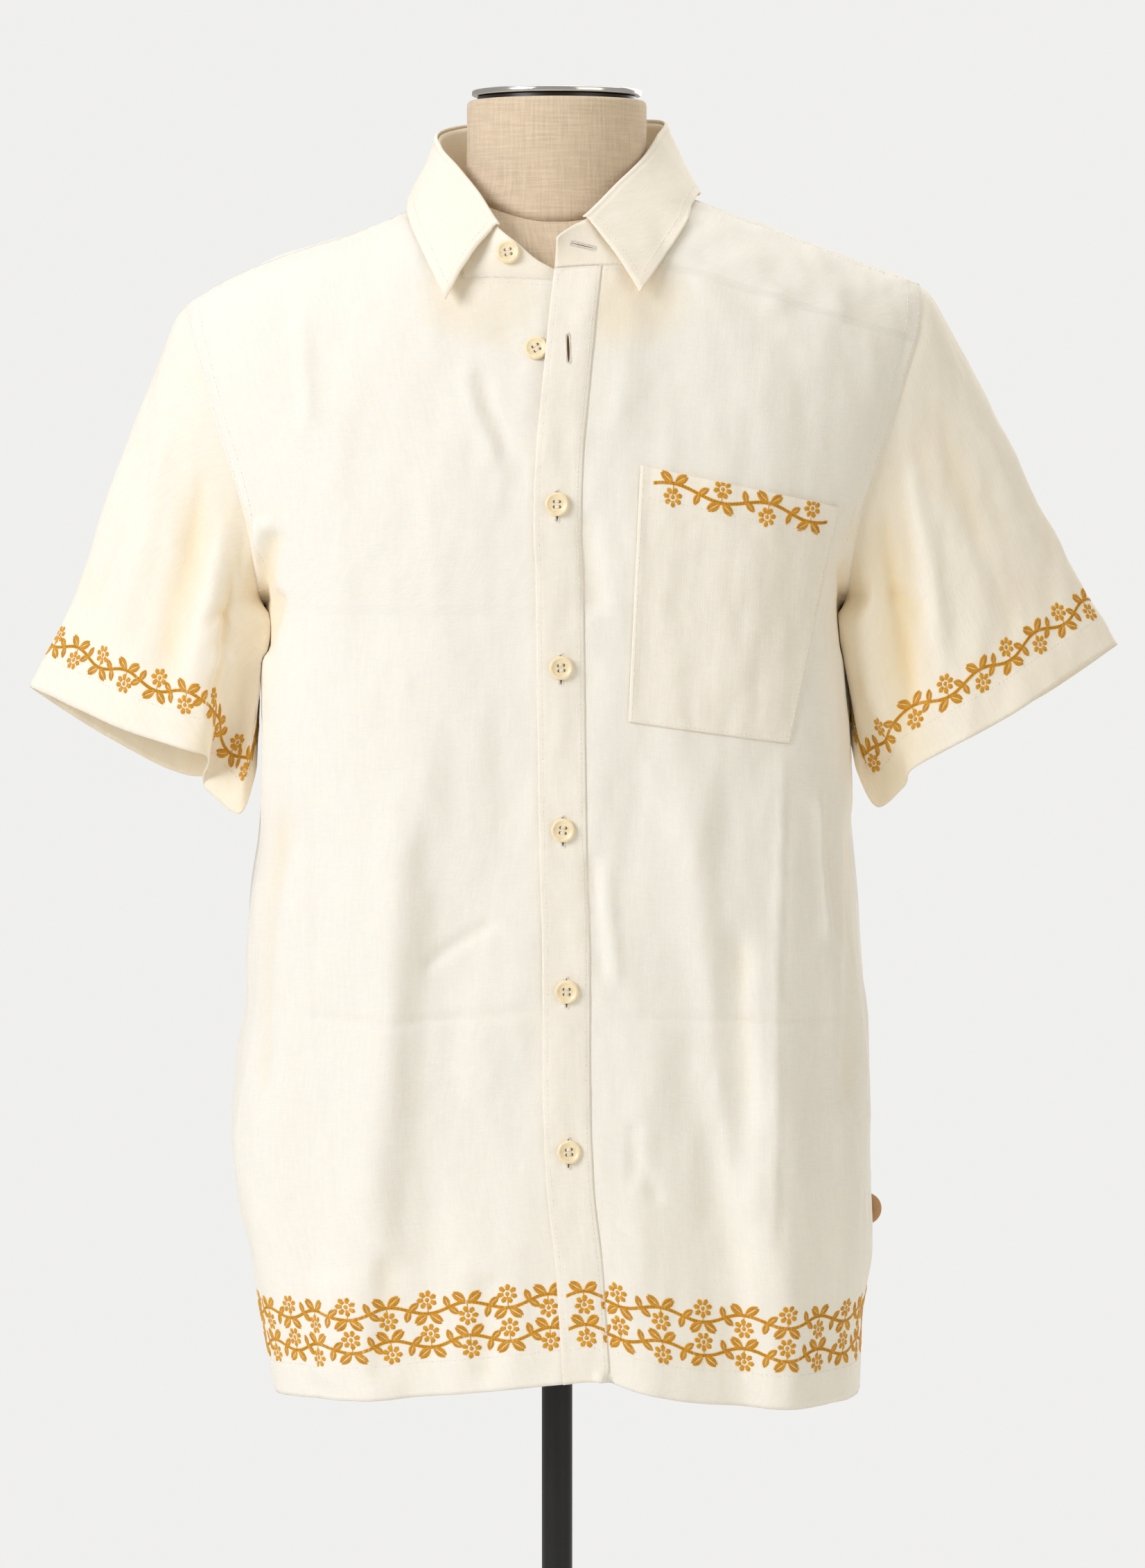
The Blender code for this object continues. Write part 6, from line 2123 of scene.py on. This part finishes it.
class SHIRT_OT_tab(bpy.types.Operator):
    """Builds the round tab in the side seam"""
    bl_idname = "shirt.tab"
    bl_label = "Side tab"

    def execute(self, context):
        low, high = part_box("side_tab")
        centre_z = 0.5 * (low[2] + high[2])
        radius = 0.5 * (high[2] - low[2])
        centre_x = high[0] - TAB_RADIUS
        angles = np.linspace(-0.5, 0.5, 41) * 2 * math.acos(
            max(-1, min(1, (low[0] - 0.004 - centre_x) / TAB_RADIUS)))
        rim = np.stack([centre_x + TAB_RADIUS * np.cos(angles), 0 * angles,
                        centre_z + TAB_RADIUS * np.sin(angles)], -1)
        middle = np.array([low[0] - 0.004, 0, centre_z])
        points, faces = [], []
        count = len(rim)
        rings = ((0.0, 0.0006), (0.7, 0.0006), (0.86, 0.00058), (0.95, 0.00042), (1.0, 0.0))
        for side in (-1, 1):
            for share, depth in rings:
                ring = middle + (rim - middle) * share
                ring[:, 1] = side * depth + 0.0003 * np.sin(ring[:, 2] * 300)
                points.append(ring)
        rows = len(rings)
        for side in range(2):
            for r in range(rows - 1):
                for k in range(count - 1):
                    a = (side * rows + r) * count + k
                    face = (a, a + 1, a + count + 1, a + count)
                    faces.append(face if side else face[::-1])
        for r in range(rows - 1):
            for k in (0, count - 1):
                a, b = r * count + k, (rows + r) * count + k
                faces.append((a, a + count, b + count, b))
        tab = add_object("side_tab.hide", np.concatenate(points), faces, finish_of("tab"))
        tidy_mesh(tab)
        carried(tab, "side_tab")
        return {"FINISHED"}


class SHIRT_OT_form(bpy.types.Operator):
    """Builds the linen dress form"""
    bl_idname = "shirt.form"
    bl_label = "Dress form"

    def execute(self, context):
        PIECES["form_torso"] = make_form_torso(finish_of("linen"))
        carried(PIECES["form_torso"], "form_torso")
        neck = make_form_neck(finish_of("linen"), tree_of("form_torso"))
        carried(neck, "form_neck")
        return {"FINISHED"}


class SHIRT_OT_stand(bpy.types.Operator):
    """Builds the neck plates, the pole, its socket and the base"""
    bl_idname = "shirt.stand"
    bl_label = "Plates and stand"

    def execute(self, context):
        chrome, black = finish_of("chrome"), finish_of("black")
        for name, material, slot, sides, profile in (
                ("neck_gap_plate", black, "black_metal", 120,
                 ((0.98, 0.0), (1.0, 0.1), (1.0, 0.9), (0.98, 1.0))),
                ("neck_plate", chrome, "chrome", 160,
                 ((0.965, 0.0), (0.985, 0.04), (0.996, 0.14), (1.0, 0.32), (1.0, 0.66),
                  (0.996, 0.84), (0.985, 0.95), (0.965, 1.0), (0.6, 1.0))),
                ("base_plate", black, "black_metal", 200,
                 ((0.994, 0.0), (0.999, 0.05), (1.0, 0.16), (1.0, 0.62), (0.9975, 0.8),
                  (0.992, 0.93), (0.984, 1.0), (0.5, 1.0))),
                ("pole", black, "black_metal", 64,
                 ((0.96, 0.0), (1.0, 0.0006), (1.0, 0.9994), (0.96, 1.0)))):
            low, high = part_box(name)
            radius, height = 0.5 * (high[0] - low[0]), high[2] - low[2]
            place = (0.5 * (low[0] + high[0]), 0.5 * (low[1] + high[1]), low[2])
            rows = [(radius * out, height * up) for out, up in profile]
            piece = add_turned(name + ".turned", rows, place, (0, 0, 1), material, sides)
            carried(piece, name)
        low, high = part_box("pole_socket")
        place = (0.5 * (low[0] + high[0]), 0.5 * (low[1] + high[1]), low[2])
        foot, wall = SOCKET_RADIUS + 0.008, SOCKET_RADIUS
        top = SOCKET_HEIGHT
        rows = ((foot - 0.0006, 0.0), (foot, 0.0008), (foot, 0.0048), (foot - 0.0006, 0.0058),
                (foot - 0.003, 0.007), (foot - 0.0058, 0.0088), (wall + 0.0008, 0.0108),
                (wall, 0.0135), (wall, top - 0.0042), (wall - 0.0004, top - 0.0026),
                (wall - 0.0014, top - 0.0012), (wall - 0.0028, top - 0.0003),
                (wall - 0.0042, top))
        piece = add_turned("pole_socket.turned", rows, place, (0, 0, 1), black, 96)
        carried(piece, "pole_socket")
        return {"FINISHED"}


def add_light(name, place, target, size, strength, colour):
    light = bpy.data.lights.new(name, "AREA")
    light.shape, light.size, light.energy, light.color = "SQUARE", size, strength, colour
    lamp = bpy.data.objects.new(name, light)
    lamp.visible_camera = False
    lamp.location = place
    lamp.rotation_euler = (Vector(target) - Vector(place)).to_track_quat("-Z", "Y").to_euler()
    bpy.context.scene.collection.objects.link(lamp)


class SHIRT_OT_stage(bpy.types.Operator):
    """Sets up the floor, the lights and the camera"""
    bl_idname = "shirt.stage"
    bl_label = "Stage"

    def execute(self, context):
        scene = context.scene
        angles = np.linspace(0, 2 * np.pi, 129)[:-1]
        rings = [(FLOOR_RADIUS * share, height) for share, height in
                 ((0.25, 0.0), (0.6, 0.0), (0.985, 0.0), (1.0, -0.01), (1.0, -0.04))]
        points = [(radius * math.cos(a), radius * math.sin(a), z) for radius, z in rings
                  for a in angles]
        count = len(angles)
        faces = [(r * count + k, (r + 1) * count + k, (r + 1) * count + (k + 1) % count,
                  r * count + (k + 1) % count) for r in range(len(rings) - 1)
                 for k in range(count)]
        faces += [tuple(range(count)), tuple(reversed(range(4 * count, 5 * count)))]
        floor = add_object("studio_floor", points, faces, finish_of("floor"))
        for name, place, aim_z, size, share, colour in LIGHTS:
            add_light(name, place, (0, 0, aim_z), size, share * settings().light, colour)
        world = bpy.data.worlds.new("soft studio")
        world.use_nodes = True
        tree = world.node_tree
        sky = tree.nodes["Background"]
        sky.inputs[0].default_value = (1.0, 0.96, 0.87, 1)
        sky.inputs[1].default_value = 0.4
        wall = add_node(tree, "ShaderNodeBackground", {0: (0.872, 0.868, 0.856, 1), 1: 1.0})
        seen = add_node(tree, "ShaderNodeLightPath").outputs["Is Camera Ray"]
        both = add_node(tree, "ShaderNodeMixShader", {0: seen, 1: sky.outputs[0],
                                                      2: wall.outputs[0]})
        tree.links.new(both.outputs[0], tree.nodes["World Output"].inputs[0])
        scene.world = world
        camera = bpy.data.cameras.new("camera")
        camera.sensor_width, camera.lens = SENSOR_WIDTH, FOCAL_LENGTH
        camera.clip_end = 60
        view = bpy.data.objects.new("camera", camera)
        view.location = CAMERA_PLACE
        view.rotation_euler = (CAMERA_TURN, 0, 0)
        scene.collection.objects.link(view)
        scene.camera = view
        scene.view_settings.view_transform = "Standard"
        return {"FINISHED"}


class SHIRT_PT_panel(bpy.types.Panel):
    """Lists the sizes, the colours and the steps in order"""
    bl_idname = "SHIRT_PT_panel"
    bl_label = "Shirt on a dress form"
    bl_space_type = "VIEW_3D"
    bl_region_type = "UI"
    bl_category = "Shirt"

    def draw(self, context):
        layout = self.layout
        group = context.scene.shirt
        for title, rows in (("Sizes", group.sizes), ("Colours", group.colours)):
            box = layout.box()
            box.label(text=title)
            for name in rows.__annotations__:
                box.prop(rows, name)
        layout.prop(group, "light")
        for step in STEPS:
            layout.operator(step.bl_idname)


STEPS = (SHIRT_OT_form, SHIRT_OT_stand, SHIRT_OT_fronts, SHIRT_OT_back, SHIRT_OT_sleeves,
         SHIRT_OT_collar, SHIRT_OT_pocket, SHIRT_OT_buttons, SHIRT_OT_tab, SHIRT_OT_stitching,
         SHIRT_OT_borders, SHIRT_OT_stage)
CLASSES = (ShirtColours, ShirtSizes, ShirtSettings, *STEPS, SHIRT_PT_panel)


def register():
    for kind in CLASSES:
        bpy.utils.register_class(kind)
    bpy.types.Scene.shirt = PointerProperty(type=ShirtSettings)


def unregister():
    del bpy.types.Scene.shirt
    for kind in reversed(CLASSES):
        bpy.utils.unregister_class(kind)


def main():
    register()
    for step in STEPS:
        group, name = step.bl_idname.split(".")
        getattr(getattr(bpy.ops, group), name)()


if __name__ == "__main__":
    main()
